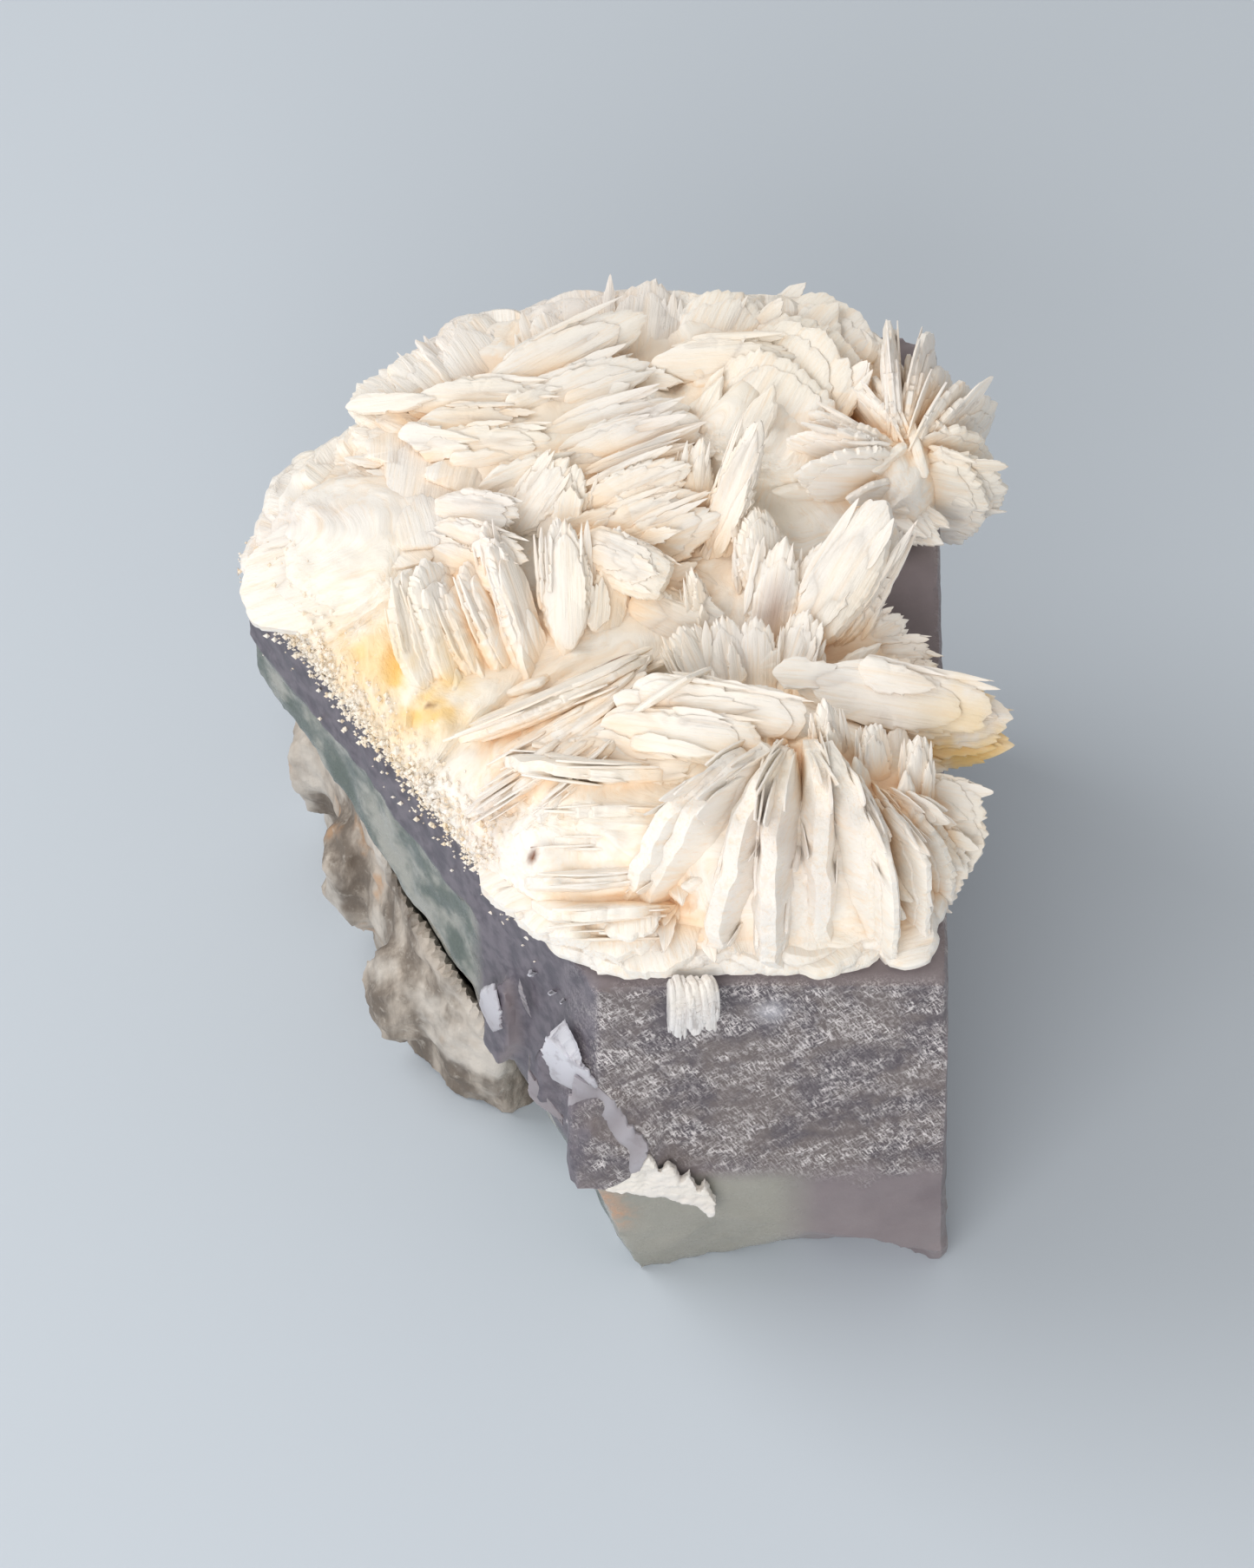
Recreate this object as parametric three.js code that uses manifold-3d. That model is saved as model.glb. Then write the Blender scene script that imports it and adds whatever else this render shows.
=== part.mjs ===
// White bladed barite grown over the top of a grey-purple fluorite crystal, with host rock at its lower left.
// Millimetres, +Z up. The origin is under the middle of the specimen, on the surface it rests on.
// The large flat crystal face looks toward -Y, and the sheer right side toward +X.

import * as THREE from "three";
import { mergeVertices } from "three/addons/utils/BufferGeometryUtils.js";
import Module from "manifold-3d";

const wasm = await Module();
wasm.setup();

// Driving dimensions
const gap = 0.3; // clearance between pieces that touch
const frontY = -25; // plane of the front crystal face
const rightX = 21; // plane of the right crystal face
const frontHeight = 33; // top face at its front edge
const topSlope = 0.15; // rise of the top face toward the back
const bladeSides = 6; // corners round a blade's outline
const bladeFlat = 0.72; // size of a blade's flat faces against its outline
const restless = 6; // degrees by which neighbouring blades of one fan differ
const uneven = 0.1; // share by which their lengths differ

const radians = THREE.MathUtils.degToRad;
const topAt = (y) => frontHeight + topSlope * (y - frontY);

// A repeatable number from -1 to 1 for the blade or corner with this number
function scatter(number) {
  const value = Math.sin(number * 12.9898) * 43758.5453;
  return 2 * (value - Math.floor(value)) - 1;
}

// Joining and cutting

function toSolid(geometry) {
  geometry.deleteAttribute("normal");
  geometry.deleteAttribute("uv");
  const merged = mergeVertices(geometry, 1e-4);
  return new wasm.Manifold(
    new wasm.Mesh({
      numProp: 3,
      vertProperties: new Float32Array(merged.attributes.position.array),
      triVerts: new Uint32Array(merged.index.array),
    }),
  );
}

function toGeometry(solid) {
  const mesh = solid.getMesh();
  const geometry = new THREE.BufferGeometry();
  geometry.setAttribute("position", new THREE.BufferAttribute(mesh.vertProperties, 3));
  geometry.setIndex(new THREE.BufferAttribute(mesh.triVerts, 1));
  geometry.computeVertexNormals();
  return geometry;
}

const join = (solids) => solids.reduce((whole, piece) => whole.add(piece));

// A closed skin over rings of corners, the highest ring first, each counterclockwise from above
function loft(rings) {
  const corners = rings[0].length;
  const points = rings.flat();
  const faces = [];
  for (let ring = 0; ring < rings.length - 1; ring++) {
    for (let k = 0; k < corners; k++) {
      const next = (k + 1) % corners;
      const high = ring * corners;
      const low = high + corners;
      faces.push(low + k, low + next, high + next, low + k, high + next, high + k);
    }
  }
  const last = (rings.length - 1) * corners;
  const mean = (ring, axis) => ring.reduce((sum, point) => sum + point[axis], 0) / corners;
  const middle = (ring) => [0, 1, 2].map((axis) => mean(ring, axis));
  points.push(middle(rings[0]), middle(rings.at(-1)));
  const highMiddle = points.length - 2;
  for (let k = 0; k < corners; k++) {
    const next = (k + 1) % corners;
    faces.push(highMiddle, k, next, highMiddle + 1, last + next, last + k);
  }
  const geometry = new THREE.BufferGeometry();
  geometry.setAttribute("position", new THREE.Float32BufferAttribute(points.flat(), 3));
  geometry.setIndex(faces);
  return toSolid(geometry);
}

// Barite blade: a flat crystal with chisel edges, from its root toward its tip.
// bearing and rise aim it, roll turns it from lying flat (0) to standing on edge (90).
// point shapes the outline: 2 is round, lower is more pointed, higher is blunter.
function blade({ root, bearing, rise, roll, size, point }) {
  const [length, width, thick] = size;
  const turn = radians(bearing);
  const climb = radians(rise);
  const lean = radians(roll);
  const along = new THREE.Vector3(
    Math.cos(turn) * Math.cos(climb),
    Math.sin(turn) * Math.cos(climb),
    Math.sin(climb),
  );
  const level = new THREE.Vector3(-Math.sin(turn), Math.cos(turn), 0);
  const upward = along.clone().cross(level);
  const across = level.multiplyScalar(Math.cos(lean)).addScaledVector(upward, Math.sin(lean));
  const facing = along.clone().cross(across);
  const centre = new THREE.Vector3(...root).addScaledVector(along, length / 2);
  const swell = (value) => Math.sign(value) * Math.abs(value) ** (2 / point);
  const outline = (scale, height) => {
    const ring = [];
    for (let k = 0; k < bladeSides; k++) {
      const angle = (k / bladeSides) * 2 * Math.PI;
      const corner = centre.clone().addScaledVector(along, (swell(Math.cos(angle)) * scale * length) / 2);
      corner.addScaledVector(across, (swell(Math.sin(angle)) * scale * width) / 2);
      ring.push(corner.addScaledVector(facing, height).toArray());
    }
    return ring;
  };
  return loft([outline(bladeFlat, thick / 2), outline(1, 0), outline(bladeFlat, -thick / 2)]);
}

// A row of blades that change evenly from the first to the last; last only says what changes
let bladesGrown = 0;
function fan(count, first, last = {}) {
  const goal = { ...first, ...last };
  const mix = (from, to, share) => from + (to - from) * share;
  const blend = (from, to, share) =>
    Array.isArray(from) ? from.map((value, k) => mix(value, to[k], share)) : mix(from, to, share);
  return Array.from({ length: count }, (_, k) => {
    const share = count > 1 ? k / (count - 1) : 0;
    const one = {};
    for (const key of Object.keys(first)) one[key] = blend(first[key], goal[key], share);
    bladesGrown += 1;
    one.bearing += restless * scatter(bladesGrown);
    one.roll += restless * scatter(bladesGrown + 0.3);
    one.rise += (restless / 2) * scatter(bladesGrown + 0.45);
    one.size[0] *= 1 + uneven * scatter(bladesGrown + 0.6);
    return one;
  });
}

// A rough rounded lump, for the heart of a rosette or a knob of rock
function lump([x, y, z], [wide, deep, high], seed, rough = 0.12) {
  const geometry = new THREE.IcosahedronGeometry(1, 1);
  geometry.deleteAttribute("normal");
  geometry.deleteAttribute("uv");
  const merged = mergeVertices(geometry, 1e-4);
  const place = merged.attributes.position;
  for (let k = 0; k < place.count; k++) {
    const push = 1 + rough * scatter(seed + k * 0.37);
    place.setX(k, x + place.getX(k) * push * wide);
    place.setY(k, y + place.getY(k) * push * deep);
    place.setZ(k, z + place.getZ(k) * push * high);
  }
  return toSolid(merged);
}

// Fluorite: corners counterclockwise from the front right, each from the top face down to the base.
// The lip is where the upper wall ends and the broken lower part begins.
const fluoriteCorners = [
  { top: [rightX, frontY], lip: [21.4, frontY, 14], foot: [21.6, frontY, 2], base: [21.6, frontY + 0.4] },
  { top: [rightX, 3], lip: [21.2, 3, 16], foot: [21.2, 3, 6], base: [21, 2] },
  { top: [rightX, 23.5], lip: [rightX, 24, 17], foot: [20.5, 23, 5], base: [19.5, 21] },
  { top: [10, 26], lip: [10, 26.5, 18], foot: [9.5, 25.5, 7], base: [9, 22] },
  { top: [-5, 26], lip: [-4.5, 26, 20], foot: [-3, 23.5, 9], base: [-2, 20] },
  { top: [-13, 23], lip: [-12.5, 22.5, 24], foot: [-9.5, 19.5, 14], base: [-6, 16] },
  { top: [-16.5, 16.5], lip: [-16, 16.5, 26], foot: [-13, 14, 20], base: [-8, 11.5] },
  { top: [-24, 11.8], lip: [-23.8, 11.8, 28], foot: [-18.5, 9, 23], base: [-9, 7] },
  { top: [-25.8, 6.4], lip: [-25.4, 6.4, 26], foot: [-20.5, 4.6, 22], base: [-9.5, 2] },
  { top: [-17.6, -4.6], lip: [-17.6, -4.6, 21.5], foot: [-15.4, -5.4, 17.6], base: [-8, -5] },
  { top: [-9.7, -15.2], lip: [-9.7, -15.2, 17], foot: [-8.2, -14.6, 11.5], base: [-4.5, -13] },
  { top: [-2, -25.5], lip: [-2, -25.5, 11.5], foot: [-1.6, -25.2, 8.5], base: [0.8, -25] },
  { top: [6, frontY], lip: [6, frontY, 12], foot: [6, frontY, 7], base: [6, frontY + 1.2] },
  { top: [12.5, frontY], lip: [12.5, frontY, 12], foot: [12.5, frontY, 4.6], base: [12, frontY + 2.8] },
  { top: [16, frontY], lip: [16, frontY, 12], foot: [16, frontY, 3.8], base: [15.6, frontY + 3.6] },
];

function fluoriteBody(grow) {
  const outward = ([x, y, z]) => {
    const reach = Math.hypot(x, y);
    return [x + (grow * x) / reach, y + (grow * y) / reach, z];
  };
  return loft([
    fluoriteCorners.map(({ top: [x, y] }) => outward([x, y, topAt(y) + grow])),
    fluoriteCorners.map(({ lip }) => outward(lip)),
    fluoriteCorners.map(({ foot }) => outward(foot)),
    fluoriteCorners.map(({ base: [x, y] }) => outward([x, y, -grow])),
  ]);
}

// A flat slab from an outline drawn in a vertical plane: u runs along the plane, v is height
function slab(outline, thick, [x, y], bearing) {
  const shape = new THREE.Shape(outline.map(([u, v]) => new THREE.Vector2(u, v)));
  const geometry = new THREE.ExtrudeGeometry(shape, { depth: thick, bevelEnabled: false });
  geometry.rotateX(Math.PI / 2);
  geometry.rotateZ(radians(bearing));
  geometry.translate(x, y, 0);
  return toSolid(geometry);
}

// Cleavage steps: flakes left standing on the front and on the slanting left side
const flakes = [
  slab([[-3.5, 12], [0, 11], [2.6, 13.5], [2.2, 17.5], [-0.5, 21.5], [-3.4, 20]], 1.5, [-0.5, -24.4], 0),
  slab([[-3.2, 11.5], [-1, 11.2], [0.8, 13], [0.4, 16], [-2, 18.5]], 2, [-0.5, -24.4], 0),
  slab([[-2.6, 17.5], [-0.4, 17], [1.4, 20.5], [1.2, 23.5], [-1, 25], [-2.6, 22]], 1.3, [-3.4, -23.4], -28),
  slab([[-1.6, 15], [0.4, 14.2], [1.8, 18.5], [1, 24.5], [-1, 21]], 1.2, [-8, -17.2], -54.5),
];

// Steps broken out of the back and the lower right edge
const brokenSteps = [
  loft([
    [[16, 20, 29], [30, 19.5, 29], [30, 40, 29.5], [16, 40, 29.5]],
    [[15.2, 19.2, 15], [30, 18.5, 15.5], [30, 40, 15.5], [15.2, 40, 15]],
  ]),
  loft([
    [[-1, 23.4, 25], [8, 24.2, 26], [8, 40, 26], [-1, 40, 25]],
    [[-2, 21.5, -5], [8.6, 22.4, -5], [8.6, 40, -5], [-2, 40, -5]],
  ]),
  loft([
    [[19.4, 6, 12], [30, 5.5, 12.5], [30, 17, 11], [19, 16.5, 10.5]],
    [[18.4, 5.2, -5], [30, 5, -5], [30, 18, -5], [18, 17, -5]],
  ]),
];

function makeFluorite() {
  const whole = join([fluoriteBody(0), ...flakes]);
  return brokenSteps.reduce((body, step) => body.subtract(step), whole);
}

// Host rock: corners counterclockwise from the front, from under the overhang down to the base
const rockCorners = [
  { high: [-8.4, -12.6, 11], waist: [-8.8, -13, 5], base: [-8, -12.2] },
  { high: [-4, -8, 16], waist: [-4, -8, 8], base: [-4, -8] },
  { high: [-4, 8, 20], waist: [-4, 8, 10], base: [-4, 8] },
  { high: [-4, 20, 18], waist: [0, 22.5, 8], base: [2, 22] },
  { high: [-9, 23.5, 20], waist: [-9, 25, 10], base: [-8, 24] },
  { high: [-14.5, 19, 23], waist: [-16.5, 21.5, 12], base: [-16, 20.5] },
  { high: [-19.5, 13.5, 25], waist: [-22, 15.5, 12], base: [-21.6, 15.5] },
  { high: [-21, 8, 23.6], waist: [-21, 8, 12], base: [-19.6, 8] },
  { high: [-18.6, 1.6, 19.6], waist: [-18.4, 1.2, 11], base: [-17, 1] },
  { high: [-15.4, -5, 16.4], waist: [-16.2, -5.4, 9], base: [-15.4, -6] },
  { high: [-12.4, -9.6, 13.4], waist: [-13, -10.6, 7], base: [-12, -10.6] },
];
const rockKnobs = [
  lump([-15.6, -6.4, 6.5], [2.8, 2.6, 4.6], 1, 0.2),
  lump([-18.4, 3.8, 8.5], [2.8, 3.8, 6], 2, 0.2),
  lump([-20.6, 12.8, 10], [3.2, 4, 7], 3, 0.2),
  lump([-12.8, 21.6, 9], [4.6, 4, 6.5], 4, 0.2),
  lump([-3, 21.6, 8], [5, 3.4, 5.5], 5, 0.2),
];
const underTable = loft([
  [[-60, -60, 0], [60, -60, 0], [60, 60, 0], [-60, 60, 0]],
  [[-60, -60, -20], [60, -60, -20], [60, 60, -20], [-60, 60, -20]],
]);

function makeRock() {
  const body = loft([
    rockCorners.map(({ high }) => high),
    rockCorners.map(({ waist }) => waist),
    rockCorners.map(({ base: [x, y] }) => [x, y, 0]),
  ]);
  return join([body, ...rockKnobs]).subtract(fluoriteBody(gap * 1.5)).subtract(underTable);
}

// Barite crust: the low mound that all the blades stand in, and the heart of each rosette
const crustEdge = [
  [20.6, -21.5], [20.6, -9], [20.2, -2], [15.5, 1.5], [15.5, 7], [20.6, 9.5], [21, 18], [17, 23.6],
  [9, 27], [-4, 27], [-12.8, 24], [-17, 17.6], [-23.8, 12.6], [-25.7, 7.4], [-23.2, 2], [-18.4, -5],
  [-10.8, -15.4], [-4.8, -23.2], [-1.6, -25], [5, -25.2], [15, -25],
];
const crustCentre = [0, 1];
const shrink = ([x, y], share) => crustCentre.map((middle, k) => middle + ([x, y][k] - middle) * share);

function makeCrust() {
  const ring = (share, height) =>
    crustEdge.map((corner) => {
      const [x, y] = shrink(corner, share);
      return [x, y, topAt(y) + height];
    });
  return loft([ring(0.86, 2.6), ring(0.97, 1.6), ring(1, 0.1)]);
}

const hearts = [
  lump([9.5, -13.5, 34], [10, 9, 7.5], 11),
  lump([-1, -12, 35.4], [8.4, 9, 5.4], 12),
  lump([-16, 6.4, 38.4], [8.6, 6.6, 4.2], 13),
  lump([-8, -1, 36.5], [7.5, 6, 3.4], 14),
  lump([1, 4, 37.6], [7.5, 6.5, 3.6], 15),
  lump([-4, 14.5, 40], [12, 8, 3.8], 16),
  lump([9, 15.5, 40], [7.5, 7.5, 4.5], 17),
  lump([18.4, 12.5, 39.5], [2.8, 5.5, 4.5], 18),
  lump([14, -6, 37], [6, 4.5, 3.6], 19),
  lump([17, -14.5, 35], [4, 7, 5.5], 20),
];

// The rosettes, fan by fan
const frontRosette = [
  ...fan(
    6,
    { root: [8.6, -12, 34], bearing: -138, rise: 27, roll: 90, size: [12.6, 16, 2.8], point: 2 },
    { root: [12.5, -12.5, 34.4], bearing: -70 },
  ),
  ...fan(
    6,
    { root: [4, -12, 38.4], bearing: 184, rise: 5, roll: 46, size: [12, 9, 2], point: 2.2 },
    { root: [4.5, -20.4, 33], bearing: 186, rise: 4, size: [9.8, 9, 2] },
  ),
  ...fan(
    5,
    { root: [0, -15, 34.7], bearing: -166, rise: 0, roll: 8, size: [10.6, 8.5, 2.2], point: 2 },
    { bearing: -76, size: [10.8, 8.5, 2.2] },
  ),
  ...fan(
    3,
    { root: [0, -8.4, 42.6], bearing: -14, rise: 3, roll: 34, size: [12.4, 4, 1.8], point: 2.8 },
    { root: [-4, -12.4, 40.6], bearing: -7, rise: 5, size: [10, 4, 1.8] },
  ),
  ...fan(
    5,
    { root: [2, -4.4, 41.4], bearing: -166, rise: -16, roll: 46, size: [17, 7.6, 1.8], point: 1.8 },
    { root: [0.4, -9, 41], bearing: -140, rise: -22, size: [12, 7.6, 1.8] },
  ),
];
const leftShoulder = [
  ...fan(
    5,
    { root: [-12.6, 6.5, 41.4], bearing: 84, rise: -2, roll: 4, size: [9.4, 10, 2.2], point: 2.2 },
    { root: [-12.2, 5.6, 41.2], bearing: 186, rise: -10, roll: -14, size: [13.4, 9, 2.2] },
  ),
  ...fan(
    3,
    { root: [-13, 7.4, 42.6], bearing: -16, rise: 4, roll: 34, size: [6.8, 3.2, 1.1], point: 2 },
    { root: [-13.4, 4, 42], bearing: -28, size: [7, 3.2, 1.1] },
  ),
];
const leftLeaves = [
  ...fan(
    5,
    { root: [-12.4, -4.4, 37], bearing: 112, rise: 42, roll: 34, size: [9.4, 6, 2], point: 2.6 },
    { root: [-6, -2.8, 37.4], bearing: 116, rise: 44, roll: 38, size: [9, 3.6, 1.7] },
  ),
  ...fan(
    3,
    { root: [-7.2, -1.6, 38], bearing: 106, rise: 44, roll: 30, size: [9, 3.2, 1.2], point: 1.6 },
    { root: [-1.6, -1.6, 38], bearing: 76, rise: 38, roll: 20, size: [9, 3.4, 1.2] },
  ),
  ...fan(1, { root: [-3.9, -2.4, 38.6], bearing: 92, rise: 38, roll: 0, size: [10.4, 3.9, 1.7], point: 1.6 }),
];
const middleBlades = [
  ...fan(
    2,
    { root: [5.2, 4.6, 39], bearing: 62, rise: 50, roll: 8, size: [11.8, 3.2, 1.4], point: 1.5 },
    { root: [4, 5.5, 39.5], bearing: 78, rise: 44, roll: 20, size: [8.5, 3.2, 1.4] },
  ),
  ...fan(
    4,
    { root: [-4, 6.8, 41.5], bearing: 14, rise: 16, roll: 42, size: [9.4, 4.4, 1.3], point: 1.6 },
    { root: [-2, 3.8, 40.4], bearing: 24, rise: 16, size: [8.5, 4.4, 1.3] },
  ),
  ...fan(
    2,
    { root: [-3, 4.8, 41.6], bearing: -26, rise: 2, roll: 36, size: [7.6, 4, 2.2], point: 3 },
    { root: [0, 2, 39.6], bearing: -24, rise: -8, size: [7, 4, 2.2] },
  ),
  ...fan(
    2,
    { root: [5.4, -1.4, 38], bearing: 112, rise: 50, roll: 12, size: [6, 2.2, 1], point: 1.5 },
    { root: [9.4, 1.5, 38.5], bearing: 94, rise: 42, size: [8, 4.6, 1.5] },
  ),
  ...fan(
    4,
    { root: [6.5, -7.2, 38], bearing: 122, rise: 36, roll: 10, size: [7, 4, 1.1], point: 1.7 },
    { root: [9.5, -6.8, 38], bearing: 66, rise: 32, roll: -12, size: [7, 4, 1.1] },
  ),
];
const bigLeaves = [
  ...fan(
    3,
    { root: [9, -3.4, 38], bearing: 82, rise: 34, roll: 6, size: [9, 4.4, 1.6], point: 1.7 },
    { root: [13, -2, 38], bearing: 62, rise: 28, roll: -26, size: [10.5, 4.6, 1.6] },
  ),
  ...fan(1, { root: [11, -2.8, 39.2], bearing: 57, rise: 31, roll: -8, size: [13, 5.2, 2.1], point: 1.6 }),
  ...fan(
    4,
    { root: [12.5, -2.6, 38.2], bearing: 40, rise: 18, roll: 30, size: [6, 3.6, 0.9], point: 1.8 },
    { root: [15.5, -1.6, 37.6], bearing: -18, rise: 8, size: [5.6, 3.6, 0.9] },
  ),
  ...fan(1, { root: [15.6, 10.5, 40], bearing: -32, rise: 2, roll: 18, size: [6.2, 3.4, 0.9], point: 2 }),
];
const rightFlower = [
  ...fan(
    5,
    { root: [18.5, 11, 39.4], bearing: 94, rise: 26, roll: 86, size: [12, 9, 1.4], point: 1.8 },
    { bearing: 48, rise: 14, size: [9, 9, 1.4] },
  ),
  ...fan(
    4,
    { root: [18.3, 11.6, 39.4], bearing: 36, rise: 10, roll: 86, size: [7.8, 9, 1.4], point: 1.8 },
    { bearing: -14, rise: 4, size: [6.4, 9, 1.4] },
  ),
  ...fan(
    5,
    { root: [19.4, 11.6, 40.8], bearing: 116, rise: 26, roll: 84, size: [8, 6, 1.2], point: 1.7 },
    { bearing: 204, rise: 22, size: [9.4, 6, 1.2] },
  ),
];
const backPlates = [
  ...fan(
    4,
    { root: [7.6, 12, 41], bearing: 52, rise: 34, roll: 0, size: [8.6, 10, 1.5], point: 2.1 },
    { root: [9, 18, 39.4], bearing: 46, rise: 20, size: [11, 12, 1.5] },
  ),
  ...fan(1, { root: [1, 19.2, 43], bearing: 3, rise: 8, roll: 34, size: [11.5, 4, 1.4], point: 1.5 }),
  ...fan(
    4,
    { root: [-6, 15.5, 40.5], bearing: 126, rise: 12, roll: 4, size: [10, 8, 1.7], point: 2 },
    { root: [4.5, 18, 40.5], bearing: 66, rise: 18, size: [8.6, 8, 1.7] },
  ),
  ...fan(
    5,
    { root: [-11.5, 15.4, 42], bearing: 24, rise: 8, roll: 38, size: [14.4, 5, 1.5], point: 1.6 },
    { root: [-4.5, 7.6, 41.4], bearing: 18, rise: 12, size: [12.6, 5, 1.5] },
  ),
  ...fan(
    3,
    { root: [-10, 13.5, 40.8], bearing: 168, rise: 2, roll: 6, size: [8.6, 8, 1.7], point: 2 },
    { root: [-8.6, 14, 41], bearing: 128, rise: 6, size: [11, 8, 1.7] },
  ),
  ...fan(
    3,
    { root: [-15, 16, 42.6], bearing: 4, rise: 5, roll: 34, size: [9.8, 4, 1.3], point: 1.8 },
    { root: [-14, 12.4, 42.2], bearing: -2, rise: 6, size: [8.6, 4, 1.3] },
  ),
  ...fan(
    2,
    { root: [-7.5, 6.4, 40.8], bearing: 48, rise: 32, roll: 0, size: [6.6, 4, 1], point: 1.6 },
    { root: [-5, 5, 40.4], bearing: 66, rise: 36, size: [6.4, 4, 1] },
  ),
];
const rightBook = [
  ...fan(
    5,
    { root: [11, -6.6, 41.6], bearing: -3, rise: -2, roll: 36, size: [14.4, 5, 1.5], point: 1.9 },
    { root: [13, -7, 37], bearing: -4, rise: 0, size: [11.5, 5, 1.5] },
  ),
];
const rightEdge = [
  ...fan(
    3,
    { root: [14, -14.5, 38], bearing: 104, rise: 56, roll: 12, size: [7.6, 3.2, 1.3], point: 1.7 },
    { root: [19, -15.6, 36.5], bearing: 84, rise: 56, roll: 20, size: [7.8, 2.8, 1.3] },
  ),
  ...fan(
    2,
    { root: [18, -14.4, 37], bearing: -8, rise: 0, roll: 46, size: [6.2, 7, 1.1], point: 1.8 },
    { root: [17.5, -16.5, 35.5], bearing: -22, rise: -6, size: [5, 7, 1.1] },
  ),
  ...fan(
    4,
    { root: [14, -13.6, 35], bearing: -66, rise: 22, roll: 88, size: [11.8, 12.6, 1.6], point: 2 },
    { root: [16.5, -13.5, 34.5], bearing: -34, rise: 14, size: [7.2, 10, 1.6] },
  ),
];
const rosettes = [
  frontRosette,
  leftShoulder,
  leftLeaves,
  middleBlades,
  bigLeaves,
  rightFlower,
  backPlates,
  rightBook,
  rightEdge,
].flat();

// Small sprig of blades that hangs on the front face below the crust
const sprigBlades = fan(
  3,
  { root: [3.3, -25.9, 33.6], bearing: -90, rise: -82, roll: 76, size: [4.2, 2, 1.3], point: 2.6 },
  { root: [5.2, -25.9, 33.6], bearing: -84, size: [3.6, 2, 1.3] },
);

function makeSprig() {
  return join(sprigBlades.map(blade)).subtract(fluoriteBody(gap * 1.5));
}

function makeRosettes() {
  const room = sprigBlades.map((one) => {
    const [x, y, z] = one.root;
    const [length, width, thick] = one.size;
    const roomy = [length + 2 * gap, width + 4 * gap, thick + 2 * gap];
    return blade({ ...one, root: [x, y, z + gap], size: roomy });
  });
  const grown = join([makeCrust(), ...hearts, ...rosettes.map(blade)]);
  return grown.subtract(fluoriteBody(gap * 1.5)).subtract(join(room));
}

// Toothed seam of barite along the lower edge of the front face
const seamOutline = [
  [-1.4, 9.4], [1, 8.6], [3.2, 8.2], [5.4, 7.2], [6.6, 5.6], [6.8, 7.4], [6, 9.4], [5.6, 8.6], [5, 10.8],
  [4.4, 9.8], [3.6, 12], [3, 11], [2.2, 12.8], [1.6, 11.4], [0.8, 11.8], [0, 10.6],
];
const seamThick = 0.9;
const seamPlace = [-0.8, frontY - gap];
const seamLift = 2.1;

function makeSeam() {
  const outline = seamOutline.map(([u, v]) => [u, v + seamLift]);
  const strip = slab(outline, seamThick, seamPlace, 0);
  return strip.subtract(join([fluoriteBody(gap * 1.5), ...flakes]));
}

// The specimen

const specimen = new THREE.Group();

function addPiece(name, solid, color, roughness) {
  const material = new THREE.MeshStandardMaterial({ color, roughness, metalness: 0, flatShading: true });
  const mesh = new THREE.Mesh(toGeometry(solid), material);
  mesh.name = name;
  specimen.add(mesh);
}

addPiece("fluorite_crystal", makeFluorite(), 0x6e676d, 0.45);
addPiece("host_rock", makeRock(), 0xa89884, 0.85);
addPiece("barite_rosettes", makeRosettes(), 0xf1e9de, 0.4);
addPiece("barite_sprig", makeSprig(), 0xf3efe9, 0.35);
addPiece("barite_seam", makeSeam(), 0xdcd8d6, 0.5);

export default specimen;
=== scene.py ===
# %% [markdown]
# # White barite on fluorite
# A hand specimen: milky barite blades in rosettes, grown over the top of a grey-purple fluorite
# crystal that still holds some of its tan host rock. The solid model of the specimen is loaded
# first and is never moved. Everything made here is measured in millimetres, like the solid model,
# and turned to metres when it is placed.

import math
from itertools import product

import bpy
import numpy as np
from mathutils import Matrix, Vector
from mathutils.kdtree import KDTree


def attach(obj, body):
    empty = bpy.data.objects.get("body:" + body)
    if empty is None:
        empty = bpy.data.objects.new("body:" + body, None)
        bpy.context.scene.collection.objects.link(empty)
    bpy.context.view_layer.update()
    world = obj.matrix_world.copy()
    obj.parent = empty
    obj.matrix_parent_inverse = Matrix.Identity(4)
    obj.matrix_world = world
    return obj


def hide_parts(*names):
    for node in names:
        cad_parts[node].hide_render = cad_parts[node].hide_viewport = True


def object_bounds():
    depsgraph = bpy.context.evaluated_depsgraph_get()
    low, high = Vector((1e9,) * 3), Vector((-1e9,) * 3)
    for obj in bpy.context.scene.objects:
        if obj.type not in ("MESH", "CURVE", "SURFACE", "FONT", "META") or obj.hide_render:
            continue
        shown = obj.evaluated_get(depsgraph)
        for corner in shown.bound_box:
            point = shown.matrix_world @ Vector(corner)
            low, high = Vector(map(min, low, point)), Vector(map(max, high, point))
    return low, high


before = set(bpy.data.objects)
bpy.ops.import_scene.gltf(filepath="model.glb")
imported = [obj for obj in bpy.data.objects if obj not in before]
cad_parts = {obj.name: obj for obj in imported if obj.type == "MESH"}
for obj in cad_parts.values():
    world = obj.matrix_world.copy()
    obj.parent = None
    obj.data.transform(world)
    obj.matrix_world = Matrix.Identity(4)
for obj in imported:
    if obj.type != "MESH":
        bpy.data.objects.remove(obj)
solid_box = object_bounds()
METRES = 0.001  # one millimetre
LOW, HIGH = (np.array(corner) / METRES for corner in solid_box)
print("solid pieces:", sorted(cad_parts))

# %% [markdown]
# ## The camera
# The photograph looks down at the specimen at 52.5 degrees from far away with a long lens. A
# camera fitted to straight edges of known length gives its place, so the picture and the model
# can be compared point by point.

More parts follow.
